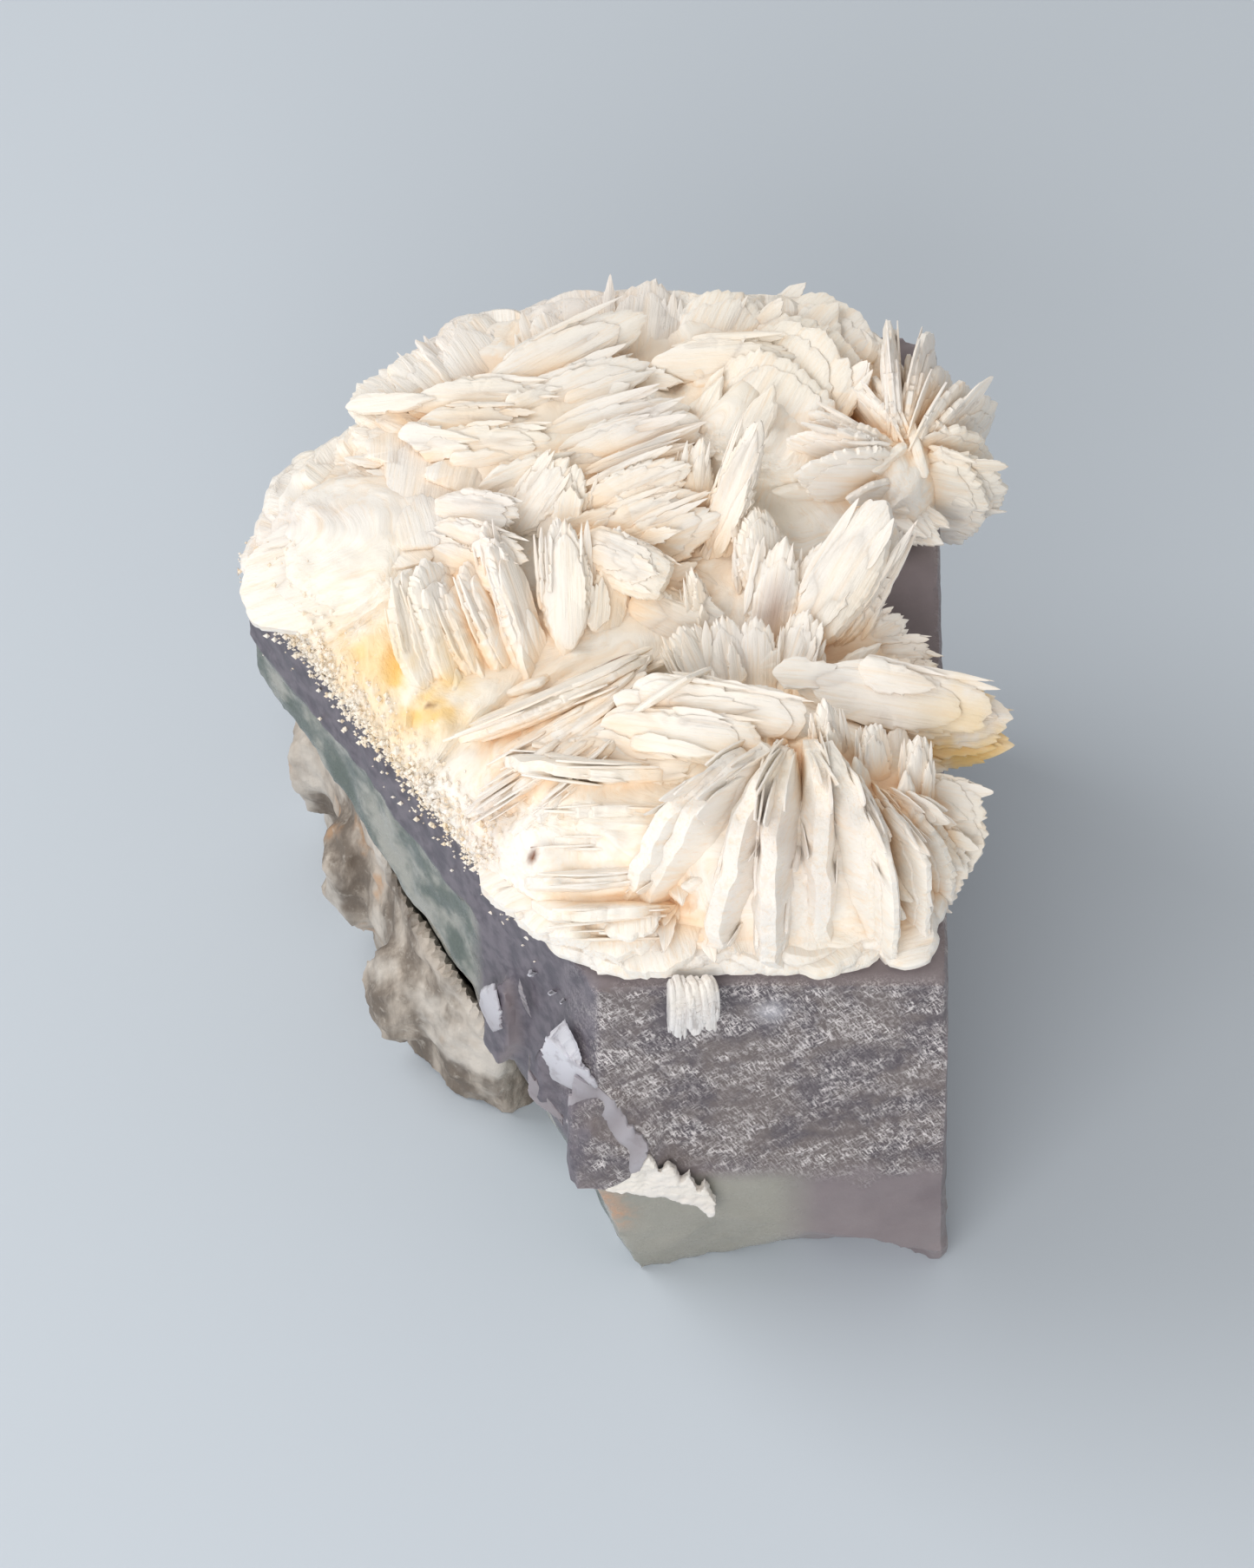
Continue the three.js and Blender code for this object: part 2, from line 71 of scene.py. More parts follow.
# %% Camera
LOOK_DOWN = 52.5  # degrees below the horizon
FOCAL_PIXELS = 10900  # focal length in pixels of the picture
TALL_PIXELS = 1807
camera_data = bpy.data.cameras.new("camera")
camera_data.sensor_width = 36
camera_data.lens = 36 * FOCAL_PIXELS / TALL_PIXELS
camera_data.clip_start = 0.01
camera = bpy.data.objects.new("camera", camera_data)
camera.location = (0, -0.391, 0.5314)
camera.rotation_euler = (math.radians(90 - LOOK_DOWN), 0, 0)
bpy.context.collection.objects.link(camera)
bpy.context.scene.camera = camera
print("lens in mm:", round(camera_data.lens, 1))

# %% [markdown]
# ## Floor and light
# Milky crystals show their depth only in soft light. A hard lamp would be simpler, but it burns
# out the white and turns every gap black. So one large lamp stands high on the left, which makes
# the rims that face it glow and leaves the right side in a gentle shade. A larger one in front
# opens the gaps, and a pale sky fills the rest.

# %% Floor and lamps
scene = bpy.context.scene
scene.view_settings.view_transform = "Standard"


def lamp(name, place, aim, size, power, colour):
    """A square soft lamp that looks from place at aim, both in millimetres."""
    data = bpy.data.lights.new(name, "AREA")
    data.size = size * METRES
    data.energy = power
    data.color = colour
    made = bpy.data.objects.new(name, data)
    made.location = Vector(place) * METRES
    sight = Vector(aim) - Vector(place)
    made.rotation_euler = sight.to_track_quat("-Z", "Y").to_euler()
    bpy.context.collection.objects.link(made)


lamp("window_light", (-290, 90, 320), (0, 0, 30), 260, 0.74, (1.0, 0.985, 0.965))
lamp("front_fill", (-120, -380, 230), (0, 0, 20), 340, 1.12, (1.0, 0.975, 0.945))
world = bpy.data.worlds.new("studio")
scene.world = world
world.use_nodes = True
sky = world.node_tree.nodes["Background"]
sky.inputs["Color"].default_value = (1.0, 0.98, 0.95, 1)
sky.inputs["Strength"].default_value = 0.5

FLOOR_SIZE = 3000  # mm
half = FLOOR_SIZE / 2 * METRES
floor_corners = [(-half, -half, 0), (half, -half, 0), (half, half, 0), (-half, half, 0)]
floor_mesh = bpy.data.meshes.new("floor")
floor_mesh.from_pydata(floor_corners, [], [(0, 1, 2, 3)])
floor = bpy.data.objects.new("floor", floor_mesh)
bpy.context.collection.objects.link(floor)
print("floor:", FLOOR_SIZE, "mm wide, lamps:", [light.name for light in bpy.data.lights])

# %% [markdown]
# ## Words for building a material
# A finish is a small graph of nodes. These helpers add a node and connect it in one call, so that
# each finish below reads as a short list of what it is made of.

# %% Material helpers
class Finish:
    """A material with its shader, and short calls that add nodes to it."""

    def __init__(self, name):
        self.material = bpy.data.materials.new(name)
        self.material.use_nodes = True
        self.tree = self.material.node_tree
        self.shader = self.tree.nodes["Principled BSDF"]

    def put(self, socket, value):
        if isinstance(value, bpy.types.NodeSocket):
            self.tree.links.new(value, socket)
        else:
            socket.default_value = value

    def add(self, kind, inputs=None, **settings):
        node = self.tree.nodes.new(kind)
        for key, value in settings.items():
            setattr(node, key, value)
        for key, value in (inputs or {}).items():
            self.put(node.inputs[key], value)
        return node

    def attribute(self, name, output="Fac"):
        return self.add("ShaderNodeAttribute", attribute_name=name).outputs[output]

    def place(self):
        return self.add("ShaderNodeTexCoord").outputs["Object"]

    def stretched(self, vector, scale, turn=(0, 0, 0)):
        radians = tuple(math.radians(angle) for angle in turn)
        inputs = {"Vector": vector, "Scale": scale, "Rotation": radians}
        return self.add("ShaderNodeMapping", inputs).outputs["Vector"]

    def noise(self, vector, scale, detail=4.0, rough=0.55, twist=0.0):
        inputs = {"Vector": vector, "Scale": scale, "Detail": detail}
        inputs.update({"Roughness": rough, "Distortion": twist})
        return self.add("ShaderNodeTexNoise", inputs).outputs["Fac"]

    def span(self, value, low, high, to_low=0.0, to_high=1.0):
        """Turns low to high of a value into to_low to to_high, smoothly."""
        inputs = {"Value": value, "From Min": low, "From Max": high}
        inputs.update({"To Min": to_low, "To Max": to_high})
        node = self.add("ShaderNodeMapRange", inputs, interpolation_type="SMOOTHSTEP")
        return node.outputs["Result"]

    def sum(self, operation, first, second):
        """Two numbers joined by an operation such as ADD, MULTIPLY or MAXIMUM."""
        node = self.add("ShaderNodeMath", operation=operation)
        self.put(node.inputs[0], first)
        self.put(node.inputs[1], second)
        return node.outputs[0]

    def mix(self, share, first, second):
        """Colour first turning to colour second as share goes from 0 to 1."""
        node = self.add("ShaderNodeMix", data_type="RGBA")
        self.put(node.inputs[0], share)
        self.put(node.inputs[6], first)
        self.put(node.inputs[7], second)
        return node.outputs[2]

    def bump(self, height, strength, distance, under=None):
        inputs = {"Height": height, "Strength": strength, "Distance": distance * METRES}
        if under is not None:
            inputs["Normal"] = under
        return self.add("ShaderNodeBump", inputs).outputs["Normal"]

    def set(self, **values):
        """Sets the shader's own sockets; an underscore in a name stands for a space."""
        for key, value in values.items():
            self.put(self.shader.inputs[key.replace("_", " ")], value)


def rgb(red, green, blue):
    return (red, green, blue, 1.0)


print("a colour as a node reads it:", rgb(0.5, 0.6, 0.7))

# %% [markdown]
# ## The floor's finish
# The first finish made with these helpers is the simplest: pale card, very slightly mottled.

# %% Floor finish
CARD = rgb(0.575, 0.64, 0.715)
CARD_LIGHT = rgb(0.595, 0.66, 0.735)
floor_finish = Finish("pale_card")
mottle = floor_finish.noise(floor_finish.place(), 14, 2)
floor_finish.set(Base_Color=floor_finish.mix(mottle, CARD, CARD_LIGHT), Roughness=0.8)
floor_mesh.materials.append(floor_finish.material)
print("floor finish:", floor_finish.material.name)

# %% [markdown]
# ## Repeatable roughness
# Crystals look grown, not drawn, when each one differs a little. Every difference here comes from
# fixed numbers: one sine rule for the blades of the solid model, and a smooth random field for
# surfaces.

# %% Scatter and grain
def scatter(number):
    """A repeatable number from -1 to 1, by the same rule as the solid model's blades."""
    value = math.sin(number * 12.9898) * 43758.5453
    return 2 * (value - math.floor(value)) - 1


def grain(points, size, seed=0):
    """A smooth random field from -1 to 1 whose bumps are about size wide."""
    scaled = np.asarray(points, float) / size
    cell = np.floor(scaled).astype(np.int64)
    part = scaled - cell
    part = part * part * (3 - 2 * part)
    total = np.zeros(len(scaled))
    for corner in product((0, 1), repeat=3):
        mixed = (cell + corner) @ np.array([73856093, 19349663, 83492791]) + seed * 2654435761
        mixed = mixed & 0xFFFFFFFF
        mixed = ((mixed ^ (mixed >> 15)) * 2246822519) & 0xFFFFFFFF
        mixed = ((mixed ^ (mixed >> 13)) * 3266489917) & 0xFFFFFFFF
        value = ((mixed ^ (mixed >> 16)) & 0xFFFF) / 32767.5 - 1
        weight = np.where(corner, part, 1 - part).prod(1)
        total += value * weight
    return total


def rough_field(points, size, seed=0, layers=3):
    """Grain at several sizes, each half as wide and half as strong as the one before."""
    return sum(grain(points, size / 2**k, seed + k) / 2**k for k in range(layers))


print("first scatter numbers:", [round(scatter(k), 2) for k in (1, 2, 3)])

# %% [markdown]
# ## From points to a piece
# A mesh is only points and the triangles between them. This helper makes one from two arrays,
# shades it smooth except at real edges, stores any value per point under a name that a material
# can read, and says how big it is.

# %% Mesh helper
TRIANGLES = {}


def make_piece(name, points, triangles, finish, slot, stands_for, values=None, edge=40):
    """A piece of the specimen from points in millimetres, riding on the specimen's one body."""
    points = np.clip(np.asarray(points, float), LOW, HIGH)
    triangles = np.asarray(triangles, np.int32)
    mesh = bpy.data.meshes.new(name)
    mesh.vertices.add(len(points))
    mesh.vertices.foreach_set("co", (points * METRES).ravel())
    mesh.loops.add(triangles.size)
    mesh.loops.foreach_set("vertex_index", triangles.ravel())
    mesh.polygons.add(len(triangles))
    mesh.polygons.foreach_set("loop_start", np.arange(0, triangles.size, 3, dtype=np.int32))
    mesh.update(calc_edges=True)
    mesh.polygons.foreach_set("use_smooth", np.ones(len(triangles), bool))
    mesh.set_sharp_from_angle(angle=math.radians(edge))
    for key, value in (values or {}).items():
        wide = np.ndim(value) > 1
        stored = mesh.attributes.new(key, "FLOAT_VECTOR" if wide else "FLOAT", "POINT")
        stored.data.foreach_set("vector" if wide else "value", np.asarray(value, float).ravel())
    mesh.materials.append(finish.material)
    piece = bpy.data.objects.new(name, mesh)
    bpy.context.collection.objects.link(piece)
    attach(piece, "root")
    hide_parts(stands_for)
    TRIANGLES[name] = len(triangles)
    size = np.round(points.max(0) - points.min(0), 1)
    print(f"{name}: {len(triangles)} triangles, {size[0]} x {size[1]} x {size[2]} mm")


# %% [markdown]
# ## Where the blades stand
# A rosette is a fan of flat blades that turn evenly from one side to the other. The rows that
# follow are the same ones that the solid model was built from: where the first blade is rooted, its
# bearing, its rise, its roll from lying flat (0) to standing on edge (90), its length, width and
# thickness, and then what the last one changes.

# %% Blade and fan
RESTLESS = 6  # degrees by which neighbouring blades of one fan differ
UNEVEN = 0.1  # share by which their lengths differ
KEYS = ("root", "bearing", "rise", "roll", "size", "point")
grown = 0


def blade(root, bearing, rise, roll, size, point):
    return dict(zip(KEYS, (root, bearing, rise, roll, size, point)))


def fan(count, first, **last):
    """A row of blades that change evenly from the first to the last."""
    global grown
    row = []
    for k in range(count):
        share = k / (count - 1) if count > 1 else 0
        one = {}
        for key, start in first.items():
            begin = np.array(start, float)
            one[key] = begin + (np.array(last.get(key, start), float) - begin) * share
        grown += 1
        one["bearing"] = one["bearing"] + RESTLESS * scatter(grown)
        one["roll"] = one["roll"] + RESTLESS * scatter(grown + 0.3)
        one["rise"] = one["rise"] + RESTLESS / 2 * scatter(grown + 0.45)
        one["size"] = one["size"] * (1 + UNEVEN * scatter(grown + 0.6), 1, 1)
        row.append(one)
    return row


ROSETTES = {}


def rosette(name, rows):
    """Keeps the rows of one rosette as one list of blades, and says how many it has."""
    ROSETTES[name] = [one for row in rows for one in row]
    print(name, "blades:", len(ROSETTES[name]))


print("a blade is told by its", ", ".join(KEYS))

# %% [markdown]
# ## The front rosette
# The largest rosette stands over the front face. Its outer blades are on edge and turn like the
# pages of an open book; behind them flatter ones lie over each other.

# %% Front rosette
rosette("front_rosette", [
    fan(
        6,
        blade((8.6, -12, 34), -138, 27, 90, (12.6, 16, 2.8), 2),
        root=(12.5, -12.5, 34.4), bearing=-70,
    ),
    fan(
        6,
        blade((4, -12, 38.4), 184, 5, 46, (12, 9, 2), 2.2),
        root=(4.5, -20.4, 33), bearing=186, rise=4, size=(9.8, 9, 2),
    ),
    fan(
        5,
        blade((0, -15, 34.7), -166, 0, 8, (10.6, 8.5, 2.2), 2),
        bearing=-76, size=(10.8, 8.5, 2.2),
    ),
    fan(
        3,
        blade((0, -8.4, 42.6), -14, 3, 34, (12.4, 4, 1.8), 2.8),
        root=(-4, -12.4, 40.6), bearing=-7, rise=5, size=(10, 4, 1.8),
    ),
    fan(
        5,
        blade((2, -4.4, 41.4), -166, -16, 46, (17, 7.6, 1.8), 1.8),
        root=(0.4, -9, 41), bearing=-140, rise=-22, size=(12, 7.6, 1.8),
    ),
])

# %% [markdown]
# ## The left side
# Low flat plates make a shoulder at the back left. In front of them slim leaves rise toward the
# back, over the broken side of the crystal.

# %% Left side
rosette("left_shoulder", [
    fan(
        5,
        blade((-12.6, 6.5, 41.4), 84, -2, 4, (9.4, 10, 2.2), 2.2),
        root=(-12.2, 5.6, 41.2), bearing=186, rise=-10, roll=-14, size=(13.4, 9, 2.2),
    ),
    fan(
        3,
        blade((-13, 7.4, 42.6), -16, 4, 34, (6.8, 3.2, 1.1), 2),
        root=(-13.4, 4, 42), bearing=-28, size=(7, 3.2, 1.1),
    ),
])
rosette("left_leaves", [
    fan(
        5,
        blade((-12.4, -4.4, 37), 112, 42, 34, (9.4, 6, 2), 2.6),
        root=(-6, -2.8, 37.4), bearing=116, rise=44, roll=38, size=(9, 3.6, 1.7),
    ),
    fan(
        3,
        blade((-7.2, -1.6, 38), 106, 44, 30, (9, 3.2, 1.2), 1.6),
        root=(-1.6, -1.6, 38), bearing=76, rise=38, roll=20, size=(9, 3.4, 1.2),
    ),
    fan(1, blade((-3.9, -2.4, 38.6), 92, 38, 0, (10.4, 3.9, 1.7), 1.6)),
])

# %% [markdown]
# ## The middle
# The middle is the busiest part: short blades cross at many angles, and a few long pointed leaves
# stand out over them. Their order matters, since each fan draws its own small differences.

# %% Middle
rosette("middle_blades", [
    fan(
        2,
        blade((5.2, 4.6, 39), 62, 50, 8, (11.8, 3.2, 1.4), 1.5),
        root=(4, 5.5, 39.5), bearing=78, rise=44, roll=20, size=(8.5, 3.2, 1.4),
    ),
    fan(
        4,
        blade((-4, 6.8, 41.5), 14, 16, 42, (9.4, 4.4, 1.3), 1.6),
        root=(-2, 3.8, 40.4), bearing=24, rise=16, size=(8.5, 4.4, 1.3),
    ),
    fan(
        2,
        blade((-3, 4.8, 41.6), -26, 2, 36, (7.6, 4, 2.2), 3),
        root=(0, 2, 39.6), bearing=-24, rise=-8, size=(7, 4, 2.2),
    ),
    fan(
        2,
        blade((5.4, -1.4, 38), 112, 50, 12, (6, 2.2, 1), 1.5),
        root=(9.4, 1.5, 38.5), bearing=94, rise=42, size=(8, 4.6, 1.5),
    ),
    fan(
        4,
        blade((6.5, -7.2, 38), 122, 36, 10, (7, 4, 1.1), 1.7),
        root=(9.5, -6.8, 38), bearing=66, rise=32, roll=-12,
    ),
])
rosette("big_leaves", [
    fan(
        3,
        blade((9, -3.4, 38), 82, 34, 6, (9, 4.4, 1.6), 1.7),
        root=(13, -2, 38), bearing=62, rise=28, roll=-26, size=(10.5, 4.6, 1.6),
    ),
    fan(1, blade((11, -2.8, 39.2), 57, 31, -8, (13, 5.2, 2.1), 1.6)),
    fan(
        4,
        blade((12.5, -2.6, 38.2), 40, 18, 30, (6, 3.6, 0.9), 1.8),
        root=(15.5, -1.6, 37.6), bearing=-18, rise=8, size=(5.6, 3.6, 0.9),
    ),
    fan(1, blade((15.6, 10.5, 40), -32, 2, 18, (6.2, 3.4, 0.9), 2)),
])

# %% [markdown]
# ## The flower and the back
# At the right a small round flower opens to the side. Behind everything broad plates lie flatter,
# one over the other.

# %% Flower and back
rosette("right_flower", [
    fan(
        5,
        blade((18.5, 11, 39.4), 94, 26, 86, (12, 9, 1.4), 1.8),
        bearing=48, rise=14, size=(9, 9, 1.4),
    ),
    fan(
        4,
        blade((18.3, 11.6, 39.4), 36, 10, 86, (7.8, 9, 1.4), 1.8),
        bearing=-14, rise=4, size=(6.4, 9, 1.4),
    ),
    fan(
        5,
        blade((19.4, 11.6, 40.8), 116, 26, 84, (8, 6, 1.2), 1.7),
        bearing=204, rise=22, size=(9.4, 6, 1.2),
    ),
])
rosette("back_plates", [
    fan(
        4,
        blade((7.6, 12, 41), 52, 34, 0, (8.6, 10, 1.5), 2.1),
        root=(9, 18, 39.4), bearing=46, rise=20, size=(11, 12, 1.5),
    ),
    fan(1, blade((1, 19.2, 43), 3, 8, 34, (11.5, 4, 1.4), 1.5)),
    fan(
        4,
        blade((-6, 15.5, 40.5), 126, 12, 4, (10, 8, 1.7), 2),
        root=(4.5, 18, 40.5), bearing=66, rise=18, size=(8.6, 8, 1.7),
    ),
    fan(
        5,
        blade((-11.5, 15.4, 42), 24, 8, 38, (14.4, 5, 1.5), 1.6),
        root=(-4.5, 7.6, 41.4), bearing=18, rise=12, size=(12.6, 5, 1.5),
    ),
    fan(
        3,
        blade((-10, 13.5, 40.8), 168, 2, 6, (8.6, 8, 1.7), 2),
        root=(-8.6, 14, 41), bearing=128, rise=6, size=(11, 8, 1.7),
    ),
    fan(
        3,
        blade((-15, 16, 42.6), 4, 5, 34, (9.8, 4, 1.3), 1.8),
        root=(-14, 12.4, 42.2), bearing=-2, rise=6, size=(8.6, 4, 1.3),
    ),
    fan(
        2,
        blade((-7.5, 6.4, 40.8), 48, 32, 0, (6.6, 4, 1), 1.6),
        root=(-5, 5, 40.4), bearing=66, rise=36, size=(6.4, 4, 1),
    ),
])

# %% [markdown]
# ## The right edge
# Two more groups close the right side. Three small blades of clear barite are kept apart, because
# they grow on the front face and get a finish of their own.

# %% Right edge and sprig
rosette("right_book", [
    fan(
        5,
        blade((11, -6.6, 41.6), -3, -2, 36, (14.4, 5, 1.5), 1.9),
        root=(13, -7, 37), bearing=-4, rise=0, size=(11.5, 5, 1.5),
    ),
])
rosette("right_edge", [
    fan(
        3,
        blade((14, -14.5, 38), 104, 56, 12, (7.6, 3.2, 1.3), 1.7),
        root=(19, -15.6, 36.5), bearing=84, roll=20, size=(7.8, 2.8, 1.3),
    ),
    fan(
        2,
        blade((18, -14.4, 37), -8, 0, 46, (6.2, 7, 1.1), 1.8),
        root=(17.5, -16.5, 35.5), bearing=-22, rise=-6, size=(5, 7, 1.1),
    ),
    fan(
        4,
        blade((14, -13.6, 35), -66, 22, 88, (11.8, 12.6, 1.6), 2),
        root=(16.5, -13.5, 34.5), bearing=-34, rise=14, size=(7.2, 10, 1.6),
    ),
])
SPRIG = fan(
    3,
    blade((3.3, -25.9, 33.6), -90, -82, 76, (4.2, 2, 1.3), 2.6),
    root=(5.2, -25.9, 33.6), bearing=-84, size=(3.6, 2, 1.3),
)
print("blades in the rosettes:", sum(len(row) for row in ROSETTES.values()))

# %% [markdown]
# ## One blade, close up
# A real barite blade is a stack of thin plates. Each plate is thick in the middle and thin at a
# ragged, saw-toothed rim, and no two end at the same line, which gives the stepped edges. A plate
# could be cut from a slab with booleans, but thousands of them would take minutes. So it is drawn
# as rings of points round its centre, on both sides, and all plates with the same number of rim
# points share one pattern of triangles.

# %% Plate patterns
def plate_pattern(sides, radii):
    """The rings and triangles that all plates with this many rim points share."""
    rings = len(radii) * 2
    radius = np.concatenate([[0], np.repeat(radii, sides), np.repeat(radii[::-1], sides), [0]])
    side = np.concatenate([np.ones(1 + len(radii) * sides), -np.ones(1 + len(radii) * sides)])
    step = np.concatenate([[0], np.tile(np.arange(sides), rings), [0]])
    here = np.arange(sides)
    after = (here + 1) % sides
    faces = [np.stack([np.zeros_like(here), here + 1, after + 1], 1)]
    for ring in range(rings - 1):
        inner = 1 + ring * sides
        outer = inner + sides
        faces.append(np.stack([inner + here, outer + here, outer + after], 1))
        faces.append(np.stack([inner + here, outer + after, inner + after], 1))
    last = 1 + (rings - 1) * sides
    end = np.full_like(here, 1 + rings * sides)
    faces.append(np.stack([last + here, end, last + after], 1))
    faces = np.concatenate(faces)
    return {"sides": sides, "radius": radius, "side": side, "step": step, "faces": faces}


LARGE = plate_pattern(120, [0.6, 0.9, 1.0])
MEDIUM = plate_pattern(64, [0.86, 1.0])
SMALL = plate_pattern(44, [0.86, 1.0])
FINE = plate_pattern(32, [1.0])
for title, pattern in {"large": LARGE, "medium": MEDIUM, "small": SMALL, "fine": FINE}.items():
    print(title, "plate:", len(pattern["faces"]), "triangles")

# %% [markdown]
# ## The rim of a plate
# Large blades have the even outline of the solid model. Small ones broke as they grew, so their
# outline is an uneven shard. Both get the teeth that barite shows along its rims: short ramps
# that end in a sharp step.

# %% Outlines and teeth
def directions(one):
    """Unit vectors along a blade, across it, and out of its face."""
    turn, climb, lean = (math.radians(float(one[key])) for key in ("bearing", "rise", "roll"))
    flat = math.cos(climb)
    along = np.array([math.cos(turn) * flat, math.sin(turn) * flat, math.sin(climb)])
    level = np.array([-math.sin(turn), math.cos(turn), 0])
    across = level * math.cos(lean) + np.cross(along, level) * math.sin(lean)
    return along, across, np.cross(along, across)


def teeth(sides, rng):
    """How deep each rim point is bitten back, as saw teeth that point to the tip."""
    bitten = np.zeros(sides)
    first = 0
    while first < sides:
        run = int(rng.integers(2, 6))
        ramp = np.arange(run) / run
        if first >= sides // 2:
            ramp = 1 - ramp
        tooth = 0.35 * rng.random() ** 2 + rng.uniform(0.25, 0.8) * ramp
        last = min(first + run, sides)
        bitten[first:last] = tooth[: last - first]
        first = last
    return bitten


def tabular(size, point, corners=11):
    """A large blade's outline: the curve that the solid model's six corners lie on."""
    turn = np.arange(corners) / corners * 2 * math.pi
    u = np.sign(np.cos(turn)) * np.abs(np.cos(turn)) ** (2 / point)
    v = np.sign(np.sin(turn)) * np.abs(np.sin(turn)) ** (2 / point)
    return np.column_stack([u * size[0] / 2, v * size[1] / 2])


def shard(size, rng):
    """An uneven broken outline with a pointed tip."""
    turn = (np.arange(6) + rng.uniform(-0.25, 0.25, 6) * (np.arange(6) > 0)) / 6 * 2 * math.pi
    reach = np.concatenate([[1.1], rng.uniform(0.72, 1.02, 5)])
    u, v = np.cos(turn) * reach, np.sin(turn) * reach
    return np.column_stack([u * size[0] / 2, v * (1 - 0.25 * u) * size[1] / 2])


def rim(corners, sides):
    """Evenly spaced points along an outline, its corners slightly worn."""
    closed = np.vstack([corners, corners[:1]])
    run = np.concatenate([[0], np.cumsum(np.linalg.norm(np.diff(closed, axis=0), axis=1))])
    at = np.arange(sides) / sides * run[-1]
    points = np.column_stack([np.interp(at, run, closed[:, k]) for k in (0, 1)])
    for _ in range(2):
        points = (np.roll(points, 1, 0) + 2 * points + np.roll(points, -1, 0)) / 4
    return points


bitten = teeth(LARGE["sides"], np.random.default_rng(1))
print("rim points bitten in one large plate:", np.count_nonzero(bitten))

# %% [markdown]
# ## One plate
# A plate is its outline filled with rings, bulged to its thickness and bent a little. Beside its
# points it keeps where each one is on the plate, which the finish needs for ribs that run along the
# blade, and how near the root it is, where the finish paints the colour warmer as shade.

# %% One plate
SHORTFALL = 0.98  # fine rims stay just inside the solid blades
RIM_THINNING = 0.88  # share of the thickness that is lost at the rim
PLATE_WAVE = 0.12  # height of the waves on a face, as a share of the thickness


def plate(pattern, axes, centre, corners, thick, seed, bite=0.3, sag=0.0, taper=8):
    """One thin plate: its points, and for each its place on the plate and how near the root it is.

    A high taper keeps both faces flat almost to the rim; a low one makes a wedge."""
    along, across, facing = axes
    rng = np.random.default_rng(seed)
    length = np.ptp(corners[:, 0])
    edge = rim(corners, pattern["sides"]) * SHORTFALL
    inward = -edge / (np.linalg.norm(edge, axis=1)[:, None] + 1e-9)
    toward_tip = np.clip(edge[:, 0] / length * 2 + 1.1, 0.15, 1)
    bitten = (teeth(pattern["sides"], rng) * toward_tip * bite)[:, None] * inward
    step, radius = pattern["step"], pattern["radius"]
    x, y = (edge[step] * radius[:, None] + bitten[step] * (radius**6)[:, None]).T
    full = np.sqrt(1 - RIM_THINNING * radius**taper)
    waves = grain(np.stack([x * 0.25, y * 0.9, np.full_like(x, seed * 3.7)], 1), 1.0, 5)
    z = pattern["side"] * thick / 2 * full + PLATE_WAVE * thick * waves
    z = z + sag * length * ((2 * x / length) ** 2 - 0.35)
    points = centre + np.outer(x, along) + np.outer(y, across) + np.outer(z, facing)
    on_plate = np.stack([x, y, z + (seed % 97) * 31], 1)
    return points, on_plate, (1 - 2 * x / length) / 2


class Growth:
    """Plates gathered into one mesh."""

    def __init__(self):
        self.points, self.places, self.roots, self.faces = [], [], [], []
        self.count = 0

    def add(self, pattern, made):
        points, places, roots = made
        self.points.append(points)
        self.places.append(places)
        self.roots.append(roots)
        self.faces.append(pattern["faces"] + self.count)
        self.count += len(points)

    def arrays(self):
        parts = (self.points, self.places, self.roots, self.faces)
        joined = [np.concatenate(part) for part in parts]
        return dict(zip(("points", "places", "roots", "faces"), joined))


trial, _, _ = plate(LARGE, np.eye(3), np.zeros(3), tabular((10, 8), 2), 1.5, 1)
print("a plate of 10 x 8 x 1.5 mm comes out as:", np.round(trial.max(0) - trial.min(0), 2))

# %% [markdown]
# ## A blade as a stack
# Three plates make a blade: a full one in the middle and a shorter one on each face, set back so
# that their ends show as steps. Narrow laminae then lie on the faces and stand along the upper
# edge like a worn feather.

# %% A blade as a stack
# each plate of a blade: its height in the blade, its thickness and its outline, as shares
THIN_LAYERS = [(0.0, 0.64, 1.0), (-0.3, 0.4, 0.88), (0.3, 0.4, 0.9)]
THICK_LAYERS = [(0.0, 1.0, 1.0), (-0.36, 0.24, 0.78), (0.36, 0.24, 0.82)]
THICK_BLADE = 2  # mm, from here on a blade is one blunt plate with thin ones on its faces
PLATE_SAG = 0.008  # bend of a plate along its length, as a share of the length
LAMINAE = 8


def feathers(growth, one, axes, rng, number, laminae):
    """Thin narrow laminae along a blade's upper edge and on its two faces."""
    length, width, thick = one["size"]
    up = 1 if axes[1][2] >= 0 else -1
    for k in range(laminae):
        on_rim = k % 2 == 1
        long, wide = length * rng.uniform(0.3, 0.7), width * rng.uniform(0.1, 0.3)
        depth = rng.uniform(0.25, 0.45) if on_rim else rng.uniform(0.16, 0.26)
        start = rng.uniform(0.12, 1.0 - long / length) * length
        middle = 2 * (start + long / 2) / length - 1
        reach = width / 2 * (1 - abs(middle) ** 2.2) ** 0.5
        if on_rim:
            aside, out = up * (reach - wide * 0.42), rng.uniform(-0.36, 0.36) * thick
        else:
            aside = rng.uniform(-0.9, 0.9) * (reach - wide / 2)
            out = rng.choice((-0.4, 0.4)) * thick
        turned = dict(one)
        turned["bearing"] = one["bearing"] + rng.normal(0, 3)
        turned["roll"] = one["roll"] + rng.normal(0, 4)
        place = one["root"] + axes[0] * (start + long / 2) + axes[1] * aside + axes[2] * out
        corners = shard((long, wide), rng)
        seed = 9000 + number * 13 + k
        growth.add(FINE, plate(FINE, directions(turned), place, corners, depth, seed, 0.22))


